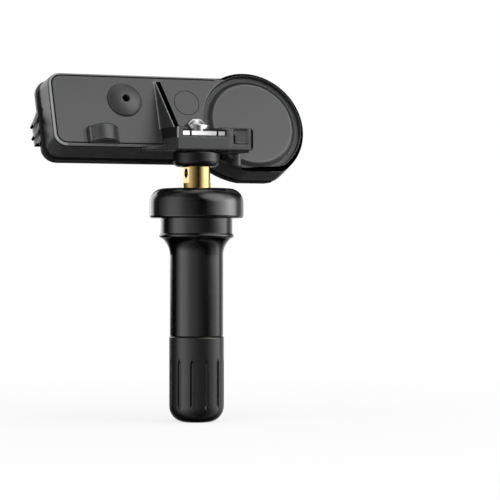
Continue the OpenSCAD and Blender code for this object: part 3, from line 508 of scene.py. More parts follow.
def board_green(name):
    """Solder mask over copper: paler tracks where |sin a x . sin b y| is small, and a slow mottle."""
    f = Finish(name)
    x, y, _ = f.axes()
    lanes = ((x * 2.6).sin() * (y * 2.9 + 0.6).sin()).math("ABSOLUTE")
    track, mottle = f.ramp(lanes, (0.05, 1.0), (0.1, 0.0)), f.noise(2.0, 2.0)
    body = f.mix(mottle, (0.008, 0.06, 0.026), (0.014, 0.09, 0.04))
    return f.done(Base_Color=f.mix(track * 0.6, body, (0.04, 0.24, 0.09)),
                  Roughness=track.between(0.28, 0.2), Normal=f.bump(track, 0.03))


def chip_package(name, colour, rough=0.5):
    """Epoxy, ceramic or ferrite: fine mineral grain, with edges paler as a painted highlight."""
    f = Finish(name)
    grit, patch = f.noise(0.12, 3.0), f.noise(0.9, 3.0)
    normal, near_edge = f.rounded(0.06)
    body = f.mix(grit * 0.6 + patch * 0.4, shaded(colour, 0.7), shaded(colour, 1.35))
    return f.done(Base_Color=f.mix(near_edge * 0.5, body, shaded(colour, 2.0)),
                  Roughness=grit.between(rough - 0.1, rough + 0.12), Normal=f.bump(grit, 0.008, normal))


def wire_enamel(name, colour):
    """Drawn and enamelled copper wire with darker spots."""
    f = Finish(name)
    spots = f.ramp(f.noise(0.4, 3.0), (0.45, 0.0), (0.7, 1.0))
    return f.done(Base_Color=f.mix(spots * 0.6, colour, shaded(colour, 0.45)), Metallic=1.0,
                  Roughness=spots.between(0.22, 0.4))


def dress(node, material):
    """Puts a material on every slot of a CAD node."""
    for slot in frame["nodes"][node].material_slots:
        slot.material = material


# ---------------------------------------------------------------- new pieces

def mesh_piece(name, grid, material, round_u=False, round_v=False):
    """A piece from a (nu, nv, 3) grid of millimetres. A round way joins its last row to its first. On a
    grid that is open along u, a first or last row of one place is closed there as a pole."""
    nu, nv = grid.shape[:2]
    index = np.arange(nu * nv).reshape(nu, nv)
    places = grid.reshape(-1, 3).copy()
    if not round_u:
        for row in (0, nu - 1):
            if np.ptp(grid[row], axis=0).max() < 1e-6:
                index[row] = index[row, 0]
    rows = np.concatenate((index, index[:1])) if round_u else index
    rows = np.concatenate((rows, rows[:, :1]), axis=1) if round_v else rows
    quads = np.stack((rows[:-1, :-1], rows[1:, :-1], rows[1:, 1:], rows[:-1, 1:]), axis=-1).reshape(-1, 4)
    first = quads[:, 0] == quads[:, 3]
    last = quads[:, 1] == quads[:, 2]
    faces = (quads[~first & ~last].tolist() + quads[first][:, :3].tolist()
             + quads[last][:, [0, 1, 3]].tolist())
    used, numbers = np.unique(np.concatenate([np.array(f) for f in faces]), return_inverse=True)
    counts = np.array([len(f) for f in faces])
    faces = np.split(numbers.ravel(), np.cumsum(counts)[:-1])
    mesh = bpy.data.meshes.new(name)
    mesh.from_pydata((places[used] * MM).tolist(), [], [f.tolist() for f in faces])
    mesh.polygons.foreach_set("use_smooth", np.ones(len(mesh.polygons), dtype=bool))
    mesh.update()
    mesh.materials.append(material)
    piece = bpy.data.objects.new(name, mesh)
    bpy.context.scene.collection.objects.link(piece)
    return piece


def swept(path, across, up, radius, sides):
    """A round wire along a path: place = path + radius * (cos a * across + sin a * up), a going round."""
    angle = np.linspace(0, 2 * math.pi, sides, endpoint=False)[None, :, None]
    return path[:, None] + radius * (np.cos(angle) * across[:, None] + np.sin(angle) * up[:, None])


def capped(rings):
    """Closes a grid of rings with one place at each end, the middle of the end ring."""
    first, last = (np.broadcast_to(ring.mean(axis=0), (1, *ring.shape)) for ring in (rings[0], rings[-1]))
    return np.concatenate((first, rings, last))


def crown(radius, height, steps=14):
    """Crown of the screw's head from its rim inwards: height * (1 - (r - inner) / (radius - inner)) to
    the power 1.25, where inner is 0.42 of the rim's radius."""
    share = np.linspace(1, 0, steps)[:, None]
    return radius * (0.42 + 0.58 * share), height * (1 - share ** 1.25)


def screw_grid(sides=96):
    """Six-lobe screw as radius and height over a profile and an angle. The shank's radius is less by
    depth * (1 + sin(2 pi z / pitch - angle)) / 2, and the recess's radius is mean + lobe * cos(6 angle)."""
    angle = np.linspace(0, 2 * math.pi, sides, endpoint=False)[None]
    shank, point, pitch = 1.5, 0.4, 0.5
    seat, top, rim = WASHER_HIGH.z + 0.02, SCREW_HIGH.z, (SCREW_HIGH.x - SCREW_LOW.x) / 2
    foot, thread_top = 0.77 * rim, seat - 0.2
    z = np.linspace(SCREW_LOW.z, thread_top, 150)[:, None]
    depth = 0.16 * np.minimum(1, (thread_top - z) / 0.6)
    groove = depth * (1 + np.sin(2 * math.pi * z / pitch - angle)) / 2
    rise, height = crown(rim - 0.02, top - SCREW_RIM - 0.2)
    mean, lobe, floor = 0.9, 0.13, top - 1.0
    lobed = mean + lobe * np.cos(6 * angle)
    rings = [(0, SCREW_LOW.z), (shank - point + np.minimum(point, z - SCREW_LOW.z) - groove, z),
             (shank, seat - 0.1), (shank, seat), (foot - 0.04, seat), (foot, seat + 0.04),
             (rim - 0.04, SCREW_RIM - 0.05), (rim, SCREW_RIM), (rim, SCREW_RIM + 0.14),
             (rise, SCREW_RIM + 0.2 + height), (lobed, top - 0.01),
             (lobed * 0.98, top - 0.05), (lobed * 0.97, floor), (lobed * 0.9, floor - 0.06),
             (lobed * 0.4, floor - 0.1), (0, floor - 0.3)]
    radius = np.concatenate([r + 0 * h + 0 * angle for r, h in rings])
    height = np.concatenate([h + 0 * r + 0 * angle for r, h in rings])
    return np.stack((radius * np.cos(angle), radius * np.sin(angle), height), axis=-1)[:, ::-1]


def spring_grid(turns, wire):
    """Helix of round wire: the height rises evenly with the angle, but for one flat turn at each end."""
    radius = SPRING_HIGH.x - wire / 2
    share = np.linspace(0, 1, int(48 * (turns + 2)))
    angle = share * 2 * math.pi * (turns + 2)
    dead = 1 / (turns + 2)
    rise = np.clip((share - dead) / (1 - 2 * dead), 0, 1)
    low, high = SPRING_LOW.z + wire / 2, SPRING_HIGH.z - wire / 2
    out = np.stack((np.cos(angle), np.sin(angle), 0 * angle), axis=-1)
    path = out * radius
    path[:, 2] = low + (high - low) * rise
    up = np.broadcast_to((0.0, 0.0, 1.0), out.shape)
    return capped(swept(path, out, up, wire / 2, 10))


def winding_grid(wire, gap):
    """Wire wound on a square core: a superellipse |w/a|^8 + |h/b|^8 = 1 that steps one wire per turn."""
    size = COIL_HIGH - COIL_LOW
    sin, cos = math.sin(FACE_TILT), math.cos(FACE_TILT)
    wide = (size.z * cos - size.y * sin) / (cos * cos - sin * sin)
    tall = (size.y * cos - size.z * sin) / (cos * cos - sin * sin)
    turns = int((size.x - wire) / (wire + gap))
    angle = np.linspace(0, 2 * math.pi * turns, turns * 32)
    scale = (np.abs(np.cos(angle)) ** 8 + np.abs(np.sin(angle)) ** 8) ** (-1 / 8)
    across = (wide - wire) / 2 * scale * np.cos(angle)
    above = (tall - wire) / 2 * scale * np.sin(angle)
    along = (angle / (2 * math.pi) - turns / 2) * (wire + gap)
    way = np.stack((np.ones_like(angle), 0 * angle, 0 * angle), axis=-1)
    path = np.array(middle_mm("coil_winding")) + along[:, None] * way
    path += across[:, None] * FACE_UP + above[:, None] * FACE_OUT
    out = across[:, None] / wide * FACE_UP + above[:, None] / tall * FACE_OUT
    out /= np.linalg.norm(out, axis=1)[:, None]
    return capped(swept(path, way, out, wire / 2, 6))[:, ::-1]


def ring_grid(centre, radius, wire):
    """Ring on the face: place = centre + (radius + wire cos b) * spoke(a) + wire sin b * outward."""
    a = np.linspace(0, 2 * math.pi, 96, endpoint=False)[:, None, None]
    b = np.linspace(0, 2 * math.pi, 8, endpoint=False)[None, :, None]
    spoke = np.cos(a) * np.array((1.0, 0, 0)) + np.sin(a) * FACE_UP
    return centre + spoke * (radius + wire * np.cos(b)) + FACE_OUT * wire * np.sin(b)


# ---------------------------------------------------------------- camera and image points

def camera_turn(look):
    """The camera's turn: a level camera, turned about Z and lifted."""
    return Euler((math.pi / 2 + look.elevation, 0, look.azimuth))


def pixels(look, places):
    """Pixels of an (n, 3) array of metres, by the camera's own perspective."""
    turn = np.array(camera_turn(look).to_matrix())
    local = (np.asarray(places, dtype=float) - np.array(look.place)) @ turn
    side = max(FRAME_W, FRAME_H)
    scale = side * look.lens / look.sensor / -local[:, 2]
    return np.column_stack((FRAME_W / 2 + local[:, 0] * scale - look.shift_x * side,
                            FRAME_H / 2 - local[:, 1] * scale + look.shift_y * side))


def pixel_ray(look, x, y):
    """Direction from the camera through a pixel."""
    side = max(FRAME_W, FRAME_H)
    way = Vector((x - FRAME_W / 2 + look.shift_x * side, FRAME_H / 2 - y + look.shift_y * side,
                  -side * look.lens / look.sensor))
    return (camera_turn(look).to_matrix() @ way).normalized()


def finished(objects):
    """Corners in metres and faces of the objects as finished, as one mesh."""
    graph = bpy.context.evaluated_depsgraph_get()
    corners, faces, start = [], [], 0
    for obj in objects:
        shape = obj.evaluated_get(graph)
        mesh = shape.to_mesh()
        mesh.calc_loop_triangles()
        place = np.empty(len(mesh.vertices) * 3, dtype=np.float32)
        mesh.vertices.foreach_get("co", place)
        index = np.empty(len(mesh.loop_triangles) * 3, dtype=np.int32)
        mesh.loop_triangles.foreach_get("vertices", index)
        corners.append(place.reshape(-1, 3))
        faces.append(index.reshape(-1, 3) + start)
        start += len(corners[-1])
        shape.to_mesh_clear()
    return np.concatenate(corners), np.concatenate(faces)


def on_surface(look, name, objects):
    """Where the ray through an image point meets the objects, in metres, or the place nearest it."""
    corners, faces = finished(objects)
    tree = BVHTree.FromPolygons([Vector(c) for c in corners], faces.tolist())
    eye, way = Vector(look.place), pixel_ray(look, *POINTS[name])
    place, _, _, _ = tree.ray_cast(eye, way)
    if place is None:
        reach = Vector(corners.mean(axis=0)) - eye
        place, _, _, _ = tree.find_nearest(eye + way * reach.dot(way))
    return np.array(place)


def shown_pixels(look, objects, everything, keep=None):
    """Pixels of the objects' corners that the camera sees, those that keep picks out by millimetres."""
    corners, _ = finished(objects)
    if keep is not None:
        corners = corners[keep(corners / MM)]
    eye = Vector(look.place)
    seen = []
    for corner in corners:
        way = Vector(corner) - eye
        place, _, _, distance = everything.ray_cast(eye, way.normalized())
        if place is None or distance > way.length - 0.3 * MM:
            seen.append(corner)
    return pixels(look, np.array(seen))


# ---------------------------------------------------------------- settings

def tint(name, description, default):
    """A colour setting."""
    return FloatVectorProperty(name=name, description=description, default=default, subtype="COLOR",
                               min=0, max=1)


def length(name, description, default, low, high):
    """A length setting, given here in millimetres."""
    return FloatProperty(name=name, description=description, default=default * MM, unit="LENGTH",
                         min=low * MM, max=high * MM)


def fraction(name, description, default, low=0.0):
    """A setting from low to 1."""
    return FloatProperty(name=name, description=description, default=default, subtype="FACTOR",
                         min=low, max=1)


def brightness(name, description, default):
    """A setting for how bright a light would look in a mirror, 1 for white."""
    return FloatProperty(name=name, description="Brightness of " + description, default=default, min=0)


def heading(name, description, degrees):
    """An angle setting, given here in degrees."""
    return FloatProperty(name=name, description=description, default=math.radians(degrees),
                         unit="ROTATION")


class CaseLook(bpy.types.PropertyGroup):
    """Looks of the sensor case."""
    colour: tint("Case colour", "Colour of the housing", (0.014, 0.0143, 0.015))
    cover: tint("Cover colour", "Colour of the back cover", (0.015, 0.0152, 0.0156))
    # Painted highlight colour for the case's rounded edges and lines.
    highlight_colour: tint("Worn colour", "Colour of the edges rubbed pale", (0.36, 0.364, 0.37))
    # Its near-black is partly the seal's own colour and partly painted shade, standing in for the shadow in
    # the seam.
    seal: tint("Seal colour", "Colour of the seal between them", (0.0025, 0.0025, 0.0026))
    rough: fraction("Roughness", "Roughness of the moulded faces", 0.42, 0.05)
    grain: length("Grain", "Size of the moulded grain", 0.16, 0.02, 2)
    depth: length("Grain depth", "Depth of the moulded grain", 0.014, 0, 0.2)
    ring_radius: length("Mould ring radius", "Radius of the mould insert's ring", 2.7, 0.5, 6)
    ring_wire: length("Mould ring height", "How far the ring stands off the face", 0.06, 0.01, 0.3)


class ValveLook(bpy.types.PropertyGroup):
    """Looks of the valve, its cap and its core, and of the coil's wire."""
    rubber: tint("Rubber colour", "Colour of the valve's rubber", (0.0016, 0.0016, 0.0018))
    rubber_rough: fraction("Rubber roughness", "Roughness of the valve's rubber", 0.16, 0.02)
    bush: tint("Bush colour", "Colour of the bush under the arm", (0.0016, 0.0016, 0.0016))
    cap: tint("Cap colour", "Colour of the dust cap", (0.004, 0.004, 0.0043))
    cap_rough: fraction("Cap roughness", "Roughness of the dust cap", 0.3, 0.05)
    brass: tint("Brass colour", "Colour of clean brass", (0.62, 0.44, 0.17))
    tarnish: tint("Tarnish colour", "Colour of tarnished brass", (0.4, 0.24, 0.07))
    spring_turns: IntProperty(name="Spring turns", description="Working turns of the core's spring",
                              default=4, min=2, max=12)
    spring_wire: length("Spring wire", "Thickness of the core spring's wire", 0.26, 0.1, 0.3)
    coil_wire: length("Coil wire", "Thickness of the wake-up coil's wire", 0.24, 0.1, 0.5)


class SteelLook(bpy.types.PropertyGroup):
    """Looks of the screw, the washer and the plated parts inside."""
    screw: tint("Screw colour", "Colour of the screw's plating", (0.9, 0.9, 0.91))
    washer: tint("Washer colour", "Colour of the washer's plating", (0.86, 0.86, 0.86))
    cell: tint("Cell colour", "Colour of the coin cell and its tabs", (0.62, 0.62, 0.61))
    rough: fraction("Roughness", "Roughness of the bright plating", 0.17, 0.03)


class CameraLook(bpy.types.PropertyGroup):
    """The photograph's camera."""
    place: FloatVectorProperty(name="Place", description="Where the camera stands", subtype="TRANSLATION",
                               unit="LENGTH", default=(-148.17 * MM, -383.51 * MM, -6.42 * MM))
    azimuth: heading("Azimuth", "Turn of the camera about Z", -22.63)
    elevation: heading("Elevation", "Lift of the camera's aim", 0)
    lens: FloatProperty(name="Lens", description="Focal length in millimetres", unit="CAMERA",
                        default=146.5, min=10)
    sensor: FloatProperty(name="Sensor", description="Sensor width in millimetres", unit="CAMERA",
                          default=36.0, min=5)
    shift_x: FloatProperty(name="Shift X", description="Sideways shift of the lens", default=0.0)
    shift_y: FloatProperty(name="Shift Y", description="Upward shift of the lens", default=0.0)


class StageLook(bpy.types.PropertyGroup):
    """The floor, the lights and the world."""
    floor: tint("Floor colour", "Colour of the floor", (0.8, 0.8, 0.8))
    floor_reach: length("Floor reach", "Half the floor's width", 4000, 200, 20000)
    shade_reach: length("Shade reach", "How far out the floor shows its shadow", 160, 20, 2000)
    shade: fraction("Shade", "How strongly the floor shows its shadow", 0.2)
    key: brightness("Side lamps", "the lamps on both sides", 1.2)
    top: brightness("Top lamp", "the overhead lamp", 2.0)
    ambient: brightness("Ambient", "the world for diffuse surfaces", 0.45)
    left: brightness("Left mirror", "the mirrored softbox on the left", 0.9)
    right: brightness("Right mirror", "the mirrored softbox on the right", 4.7)
    rim: brightness("Rim mirror", "the mirrored strip behind on the left", 2.0)
    back: brightness("Back mirror", "the mirrored backdrop", 0.9)
    above: brightness("Ceiling mirror", "the mirrored ceiling", 0.7)
    low: brightness("Low mirror", "the mirrored room below the part", 1.4)
    face: brightness("Face lamp mirror", "the lamp that the sloping face mirrors", 1.6)
    face_turn: heading("Face lamp turn", "Its angle to the right of the camera", 52)
    face_lift: heading("Face lamp height", "Its height angle", 38)


class SensorLook(bpy.types.PropertyGroup):
    """Every setting of the add-on."""
    case: PointerProperty(type=CaseLook)
    valve: PointerProperty(type=ValveLook)
    steel: PointerProperty(type=SteelLook)
    camera: PointerProperty(type=CameraLook)
    stage: PointerProperty(type=StageLook)


# ---------------------------------------------------------------- operators

class WHEEL_SENSOR_OT_camera(bpy.types.Operator):
    """Sets the photograph's camera from its place, aim, lens and shift"""
    bl_idname = "wheel_sensor.camera"
    bl_label = "Camera"

    def execute(self, context):
        look = context.scene.wheel_sensor.camera
        lens = bpy.data.cameras.new("photo_camera")
        lens.lens, lens.sensor_width, lens.sensor_fit = look.lens, look.sensor, "AUTO"
        lens.shift_x, lens.shift_y = look.shift_x, look.shift_y
        lens.clip_start, lens.clip_end = 0.01, 100
        camera = bpy.data.objects.new("photo_camera", lens)
        camera.location = look.place
        camera.rotation_euler = camera_turn(look)
        context.scene.collection.objects.link(camera)
        context.scene.camera = camera
        return {"FINISHED"}


class WHEEL_SENSOR_OT_case(bpy.types.Operator):
    """Dresses the housing, its back cover and the seal between them"""
    bl_idname = "wheel_sensor.case"
    bl_label = "Sensor case"

    def execute(self, context):
        look = context.scene.wheel_sensor.case
        grain, depth = look.grain / MM, look.depth / MM
        dress("housing", moulded_plastic("case_plastic", look.colour, look.highlight_colour, look.rough, grain, depth,
                                         edge=0.6, marks=case_light_and_shade))
        # The cover's painted highlight colour is a little dimmer than the housing's.
        dress("back_cover", moulded_plastic("cover_plastic", look.cover, shaded(look.highlight_colour, 0.8), look.rough,
                                            grain, depth, edge=0.3, marks=cover_light_and_shade))
        dress("cover_seal", matt_rubber("case_seal", look.seal))
        return {"FINISHED"}


class WHEEL_SENSOR_OT_valve(bpy.types.Operator):
    """Dresses the valve's rubber, its brass stem and the bush under the arm"""
    bl_idname = "wheel_sensor.valve"
    bl_label = "Valve"

    def execute(self, context):
        look = context.scene.wheel_sensor.valve
        dress("rubber_body", glossy_rubber("valve_rubber", look.rubber, look.rubber_rough, draft=0.05))
        dress("stem_bush", glossy_rubber("bush_rubber", look.bush, look.rubber_rough + 0.16, sheen=0.6))
        dress("brass_stem", turned_brass("stem_brass", look.brass, look.tarnish, threaded=True))
        return {"FINISHED"}


class WHEEL_SENSOR_OT_cap(bpy.types.Operator):
    """Dresses the dust cap and its sealing ring"""
    bl_idname = "wheel_sensor.cap"
    bl_label = "Dust cap"

    def execute(self, context):
        look = context.scene.wheel_sensor.valve
        # (0.03, 0.03, 0.031) is the painted highlight colour of the cap's edges.
        dress("cap_shell", moulded_plastic("cap_plastic", look.cap, (0.03, 0.03, 0.031), look.cap_rough,
                                           grain=0.12, depth=0.004, edge=0.15, sheen=0.9, draft=0.08))
        dress("cap_seal", matt_rubber("cap_seal_rubber", look.bush))
        return {"FINISHED"}


class WHEEL_SENSOR_OT_core(bpy.types.Operator):
    """Dresses the valve core's barrel, pin and seals"""
    bl_idname = "wheel_sensor.core"
    bl_label = "Valve core"

    def execute(self, context):
        look = context.scene.wheel_sensor.valve
        for node in ("core_barrel", "core_pin"):
            dress(node, turned_brass(node + "_brass", look.brass, look.tarnish))
        dress("core_gasket", matt_rubber("core_gasket_rubber", (0.4, 0.05, 0.03)))
        dress("core_cup", matt_rubber("core_cup_rubber", (0.015, 0.015, 0.016)))
        return {"FINISHED"}


class WHEEL_SENSOR_OT_board(bpy.types.Operator):
    """Dresses the circuit board, its parts, the coin cell and the antenna"""
    bl_idname = "wheel_sensor.board"
    bl_label = "Electronics"

    def execute(self, context):
        steel = context.scene.wheel_sensor.steel
        dress("circuit_board", board_green("board_mask"))
        dress("battery_cell", plated_metal("cell_can", steel.cell, steel.rough + 0.08, grain=0.8,
                                           stretch=(0.3, 3, 3)))
        for node in ("negative_tab", "positive_tab"):
            dress(node, plated_metal(node + "_strip", steel.cell, steel.rough + 0.1, grain=0.3,
                                     stretch=(0.2, 3, 3)))
        dress("crystal", plated_metal("crystal_can", steel.cell, steel.rough))
        dress("antenna_loop", plated_metal("antenna_strip", (0.7, 0.62, 0.45), steel.rough + 0.1))
        dress("pressure_sensor", chip_package("sensor_epoxy", (0.02, 0.021, 0.023)))
        dress("control_chip", chip_package("chip_epoxy", (0.018, 0.018, 0.02)))
        dress("chip_parts", chip_package("chip_ceramic", (0.42, 0.3, 0.16), rough=0.4))
        dress("ferrite_core", chip_package("ferrite_ceramic", (0.07, 0.066, 0.062), rough=0.55))
        dress("port_seal", matt_rubber("port_seal_rubber", (0.4, 0.05, 0.03)))
        return {"FINISHED"}


class WHEEL_SENSOR_OT_clamp(bpy.types.Operator):
    """Dresses the washer and builds the six-lobe screw"""
    bl_idname = "wheel_sensor.clamp"
    bl_label = "Washer and screw"

    def execute(self, context):
        steel = context.scene.wheel_sensor.steel
        half = (WASHER_HIGH.x - WASHER_LOW.x) / 2
        dress("washer_plate", pressed_washer("washer_plating", steel.washer, steel.rough, half, bow=0.8))
        metal = plated_metal("screw_plating", steel.screw, steel.rough, grain=0.3, stretch=(1, 1, 4),
                             coned=SCREW_RIM)
        screw = mesh_piece("lobe_screw", screw_grid(), metal, round_v=True)
        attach(screw, "sensor")
        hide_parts("torx_screw")
        return {"FINISHED"}


class WHEEL_SENSOR_OT_spring(bpy.types.Operator):
    """Builds the valve core's round-wire spring"""
    bl_idname = "wheel_sensor.spring"
    bl_label = "Core spring"

    def execute(self, context):
        look = context.scene.wheel_sensor
        valve = look.valve
        grid = spring_grid(valve.spring_turns, valve.spring_wire / MM)
        metal = plated_metal("spring_wire", look.steel.cell, look.steel.rough, grain=0.3)
        spring = mesh_piece("wire_spring", grid, metal, round_v=True)
        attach(spring, "sensor")
        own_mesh(spring)
        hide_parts("core_spring")
        return {"FINISHED"}


class WHEEL_SENSOR_OT_winding(bpy.types.Operator):
    """Builds the wake-up coil's winding, turn by turn"""
    bl_idname = "wheel_sensor.winding"
    bl_label = "Coil winding"

    def execute(self, context):
        look = context.scene.wheel_sensor
        grid = winding_grid(look.valve.coil_wire / MM, gap=0.01)
        winding = mesh_piece("wound_coil", grid, wire_enamel("coil_enamel", (0.6, 0.24, 0.1)), round_v=True)
        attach(winding, "sensor")
        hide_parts("coil_winding")
        return {"FINISHED"}


class WHEEL_SENSOR_OT_mould_ring(bpy.types.Operator):
    """Builds the plain raised ring that a round mould insert leaves on the case's face"""
    bl_idname = "wheel_sensor.mould_ring"
    bl_label = "Mould ring"

    def execute(self, context):
        look = context.scene.wheel_sensor
        centre = on_surface(look.camera, "mould_ring", [frame["nodes"]["housing"]]) / MM
        grid = ring_grid(centre, look.case.ring_radius / MM, look.case.ring_wire / MM)
        plastic = frame["nodes"]["housing"].material_slots[0].material
        ring = mesh_piece("mould_ring", grid, plastic, round_u=True, round_v=True)
        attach(ring, "sensor")
        return {"FINISHED"}


def softbox(name, azimuth, elevation, distance, size, level):
    """Square light on the part for its diffuse surfaces and its shadow; the world holds what glossy ones
    mirror. Azimuth runs from -Y towards +X, in degrees, and level is its brightness, 1 for white."""
    turn, lift = math.radians(azimuth), math.radians(elevation)
    way = Vector((math.sin(turn) * math.cos(lift), -math.cos(turn) * math.cos(lift), math.sin(lift)))
    lamp = bpy.data.lights.new(name, "AREA")
    lamp.shape, lamp.size = "SQUARE", size
    lamp.energy = level * math.pi * size * size
    light = bpy.data.objects.new(name, lamp)
    light.location = way * distance
    light.rotation_euler = way.to_track_quat("Z", "Y").to_euler()
    light.visible_glossy = False
    bpy.context.scene.collection.objects.link(light)


def room_stops(look):
    """Lights of the mirrored studio: for each its brightness at angles from the camera's side (degrees to
    the right), and the share of it at height angles."""
    left = ((-180, 0), (-162, 0), (-156, look.rim), (-134, look.rim), (-124, 0.02),
            (-106, 0.06 * look.left), (-84, 0.45 * look.left), (-66, look.left), (-48, 0.95 * look.left),
            (-26, 0.35 * look.left), (0, 0.08 * look.left), (12, 0), (180, 0))
    right = ((-180, 0), (24, 0), (41, 0.1 * look.right), (66, 0.5 * look.right), (90, look.right),
             (106, 0.7 * look.right), (119, 0.1 * look.right), (135, 0))
    behind = ((-180, look.back), (-160, look.back), (-145, 0), (125, 0), (150, look.back), (180, look.back))
    low = ((-100, 0), (-84, 0.4 * look.low), (-70, look.low), (-49, 0.86 * look.low), (-27, 0.4 * look.low),
           (-8, 0.29 * look.low), (11, 0.16 * look.low), (31, 0.06 * look.low), (48, 0), (56, 0),
           (71, 0.2 * look.low), (94, 0.55 * look.low), (110, 1.1 * look.low), (122, 0.2 * look.low),
           (135, 0))
    return ((left, ((-3.2, 0), (-0.8, 1), (28, 1), (42, 0.35), (60, 0.35), (75, 0))),
            (right, ((-3.2, 0), (-0.8, 1), (8, 1), (22, 0.4), (45, 0.12), (75, 0))),
            (behind, ((-34, 0), (-8, 1), (6, 1), (15, 0.12), (36, 0.12), (50, 1), (80, 0.8))),
            (low, ((-62, 0.15), (-40, 0.4), (-20, 1), (-3.2, 1), (-0.8, 0))))


def fill_world(look, towards_camera, right_of_camera):
    """White to the camera and plain to diffuse rays. Glossy rays see a studio: soft lights that stand
    round the part, a dark camera side, a pale backdrop, a ceiling and a lamp on the sloping face."""
    world = bpy.data.worlds.new("studio")
    world.use_nodes = True
    n = Nodes(world.node_tree)
    way = n.add("ShaderNodeTexCoord", {}, out="Generated")
    angle = n.dot(way, right_of_camera).math("ARCTAN2", n.dot(way, towards_camera)) * (0.5 / math.pi) + 0.5
    height = n.dot(way, (0, 0, 1)) * 0.5 + 0.5

    def rise(*stops):
        return n.ramp(height, *((0.5 + 0.5 * math.sin(math.radians(a)), level) for a, level in stops))

    room = rise((66, 0.0), (80, 1.0)) * look.above
    for round_it, up_it in room_stops(look):
        peak = max(level for _, level in round_it) or 1.0
        round_it = n.ramp(angle, *((a / 360 + 0.5, level / peak) for a, level in round_it))
        room = room + round_it * rise(*up_it) * peak
    around = math.cos(look.face_turn) * towards_camera + math.sin(look.face_turn) * right_of_camera
    lamp = around * math.cos(look.face_lift)
    lamp.z += math.sin(look.face_lift)
    near = n.ramp(n.dot(way, lamp), (math.cos(math.radians(34)), 0.0), (math.cos(math.radians(16)), 1.0))
    room = room + near * look.face
    glossy = n.add("ShaderNodeLightPath", {}, out="Is Glossy Ray")
    seen = n.add("ShaderNodeLightPath", {}, out="Is Camera Ray")
    level = glossy * room + (1 - glossy) * look.ambient
    level = seen + (1 - seen) * level
    sky = n.add("ShaderNodeBackground", {}, Color=(1, 1, 1), Strength=level)
    n.output("ShaderNodeOutputWorld", sky)
    return world


def floor_material(look):
    """Pale floor that is white to the camera, but for its shadow near the part."""
    material = bpy.data.materials.new("pale_floor")
    material.use_nodes = True
    n = Nodes(material.node_tree)
    x, y, _ = n.parts(n.add("ShaderNodeTexCoord", {}, out="Object"))
    out = (x * x + y * y).math("SQRT")
    mottle = n.add("ShaderNodeTexNoise", {"noise_dimensions": "3D"}, Scale=30.0, Detail=3.0)
    near = n.ramp(out * (0.5 / look.shade_reach), (0.1, 1.0), (0.5, 0.0))
    diffuse = n.add("ShaderNodeBsdfDiffuse", {}, Color=n.mix(mottle, look.floor, shaded(look.floor, 0.97)))
    white = n.add("ShaderNodeEmission", {}, Color=(1, 1, 1), Strength=1.0)
    seen = n.add("ShaderNodeLightPath", {}, out="Is Camera Ray")
    shown = n.add("ShaderNodeMixShader", {}, seen * (1 - near * look.shade), diffuse, white)
    n.output("ShaderNodeOutputMaterial", shown)
    return material


class WHEEL_SENSOR_OT_stage(bpy.types.Operator):
    """Lays the pale floor under the cap, and sets the studio lights and the world"""
    bl_idname = "wheel_sensor.stage"
    bl_label = "Stage"

    def execute(self, context):
        look = context.scene.wheel_sensor
        stage, low, reach = look.stage, CAD_BOX[0][2], look.stage.floor_reach
        mesh = bpy.data.meshes.new("floor")
        corners = [(-reach, -reach, low), (reach, -reach, low), (reach, reach, low), (-reach, reach, low)]
        mesh.from_pydata(corners, [], [(0, 1, 2, 3)])
        mesh.materials.append(floor_material(stage))
        floor = bpy.data.objects.new("floor", mesh)
        context.scene.collection.objects.link(floor)
        floor.visible_glossy = False
        floor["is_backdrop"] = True
        softbox("left_softbox", -72, 15, distance=0.6, size=0.5, level=stage.key)
        softbox("right_softbox", 68, 20, distance=0.6, size=0.5, level=stage.key)
        softbox("top_softbox", 10, 70, distance=0.7, size=0.8, level=stage.top)
        turn = camera_turn(look.camera).to_matrix()
        context.scene.world = fill_world(stage, turn.col[2], turn.col[0])
        context.scene.view_settings.view_transform = "Standard"
        return {"FINISHED"}


def near_port(places):
    """Picks the corners round the mouth of the pressure port's hole: within 1 mm of its axis and 0.3 mm
    of the outermost of them."""
    away = places - np.array(middle_mm("port_seal"))
    out = away @ FACE_OUT
    middle = np.hypot(away[:, 0], away @ FACE_UP) < 1
    return middle & (out > out[middle].max() - 0.3)


def near_cross_hole(places):
    """Picks the corners round the mouth of the hole through the brass stem."""
    radius = np.hypot(places[:, 1], places[:, 2] - CROSS_HOLE_Z)
    return (places[:, 0] < -2) & (abs(radius - CROSS_HOLE_R) < 0.08)


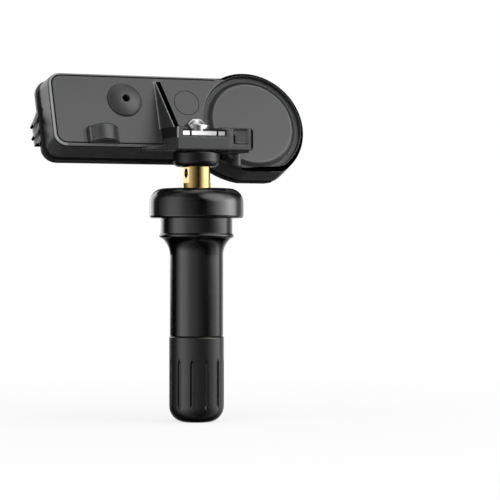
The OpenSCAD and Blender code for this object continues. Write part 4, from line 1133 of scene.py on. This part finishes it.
class WHEEL_SENSOR_OT_points(bpy.types.Operator):
    """Works out how far each thing shows from its image point, and keeps none of it"""
    bl_idname = "wheel_sensor.points"
    bl_label = "Image points"

    def execute(self, context):
        look = context.scene.wheel_sensor.camera
        nodes = frame["nodes"]
        shown = [o for o in context.scene.objects if o.type == "MESH" and not o.hide_render
                 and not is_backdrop(o)]
        corners, faces = finished(shown)
        tree = BVHTree.FromPolygons([Vector(c) for c in corners], faces.tolist())

        def seen(*objects, keep=None):
            return shown_pixels(look, objects, tree, keep)

        def middle(places):
            return (places.min(axis=0) + places.max(axis=0)) / 2

        case = seen(nodes["housing"], nodes["back_cover"])
        drum = seen(nodes["housing"], nodes["back_cover"], keep=lambda p: p[:, 0] > 8)
        arm = seen(nodes["housing"], keep=lambda p: (p[:, 1] < HOUSING_LOW.y + 0.25) & (p[:, 0] > 9))
        port = seen(nodes["housing"], keep=near_port)
        hole = seen(nodes["brass_stem"], keep=near_cross_hole)
        screw = seen(bpy.data.objects["lobe_screw"])
        washer, bush = seen(nodes["washer_plate"]), seen(nodes["stem_bush"])
        rubber, cap = seen(nodes["rubber_body"]), seen(nodes["cap_shell"])
        ring = seen(bpy.data.objects["mould_ring"])
        tip = screw[screw[:, 1] < screw[:, 1].min() + 1]
        shows = {
            "case_left": case.min(axis=0), "case_right": case.max(axis=0), "case_top": case.min(axis=0),
            "battery_end_low": drum.max(axis=0), "port_hole": middle(port),
            "arm_corner": (arm[:, 0].max(), arm[:, 1].min()), "screw_top": middle(tip),
            "washer_left": washer.min(axis=0), "bush_left": bush.min(axis=0), "cross_hole": middle(hole),
            "flange_left": rubber.min(axis=0), "flange_right": rubber.max(axis=0),
            "stem_end": rubber.max(axis=0), "cap_low": cap.max(axis=0), "mould_ring": middle(ring),
        }
        for name, point in POINTS.items():
            off = [round(float(s) - p, 2) for s, p in zip(shows[name], point) if p is not None]
        return {"FINISHED"}


class WHEEL_SENSOR_PT_looks(bpy.types.Panel):
    """Settings and steps of the wheel sensor's looks"""
    bl_label = "Wheel sensor"
    bl_space_type = "VIEW_3D"
    bl_region_type = "UI"
    bl_category = "Wheel sensor"

    def draw(self, context):
        look = context.scene.wheel_sensor
        for group in SensorLook.__annotations__:
            box = self.layout.box()
            box.label(text=group.capitalize())
            settings = getattr(look, group)
            for name in type(settings).__annotations__:
                box.prop(settings, name)
        for step in STEPS:
            self.layout.operator(step.bl_idname)


STEPS = (WHEEL_SENSOR_OT_camera, WHEEL_SENSOR_OT_case, WHEEL_SENSOR_OT_valve, WHEEL_SENSOR_OT_cap,
         WHEEL_SENSOR_OT_core, WHEEL_SENSOR_OT_board, WHEEL_SENSOR_OT_clamp, WHEEL_SENSOR_OT_spring,
         WHEEL_SENSOR_OT_winding, WHEEL_SENSOR_OT_mould_ring, WHEEL_SENSOR_OT_stage,
         WHEEL_SENSOR_OT_points)
CLASSES = (CaseLook, ValveLook, SteelLook, CameraLook, StageLook, SensorLook, *STEPS,
           WHEEL_SENSOR_PT_looks)


def register():
    for cls in CLASSES:
        bpy.utils.register_class(cls)
    bpy.types.Scene.wheel_sensor = PointerProperty(type=SensorLook)


def unregister():
    del bpy.types.Scene.wheel_sensor
    for cls in reversed(CLASSES):
        bpy.utils.unregister_class(cls)


def main():
    register()
    steps = bpy.ops.wheel_sensor
    steps.camera()
    steps.case()
    steps.valve()
    steps.cap()
    steps.core()
    steps.board()
    steps.clamp()
    steps.spring()
    steps.winding()
    steps.mould_ring()
    steps.stage()
    steps.points()


if __name__ == "__main__":
    main()
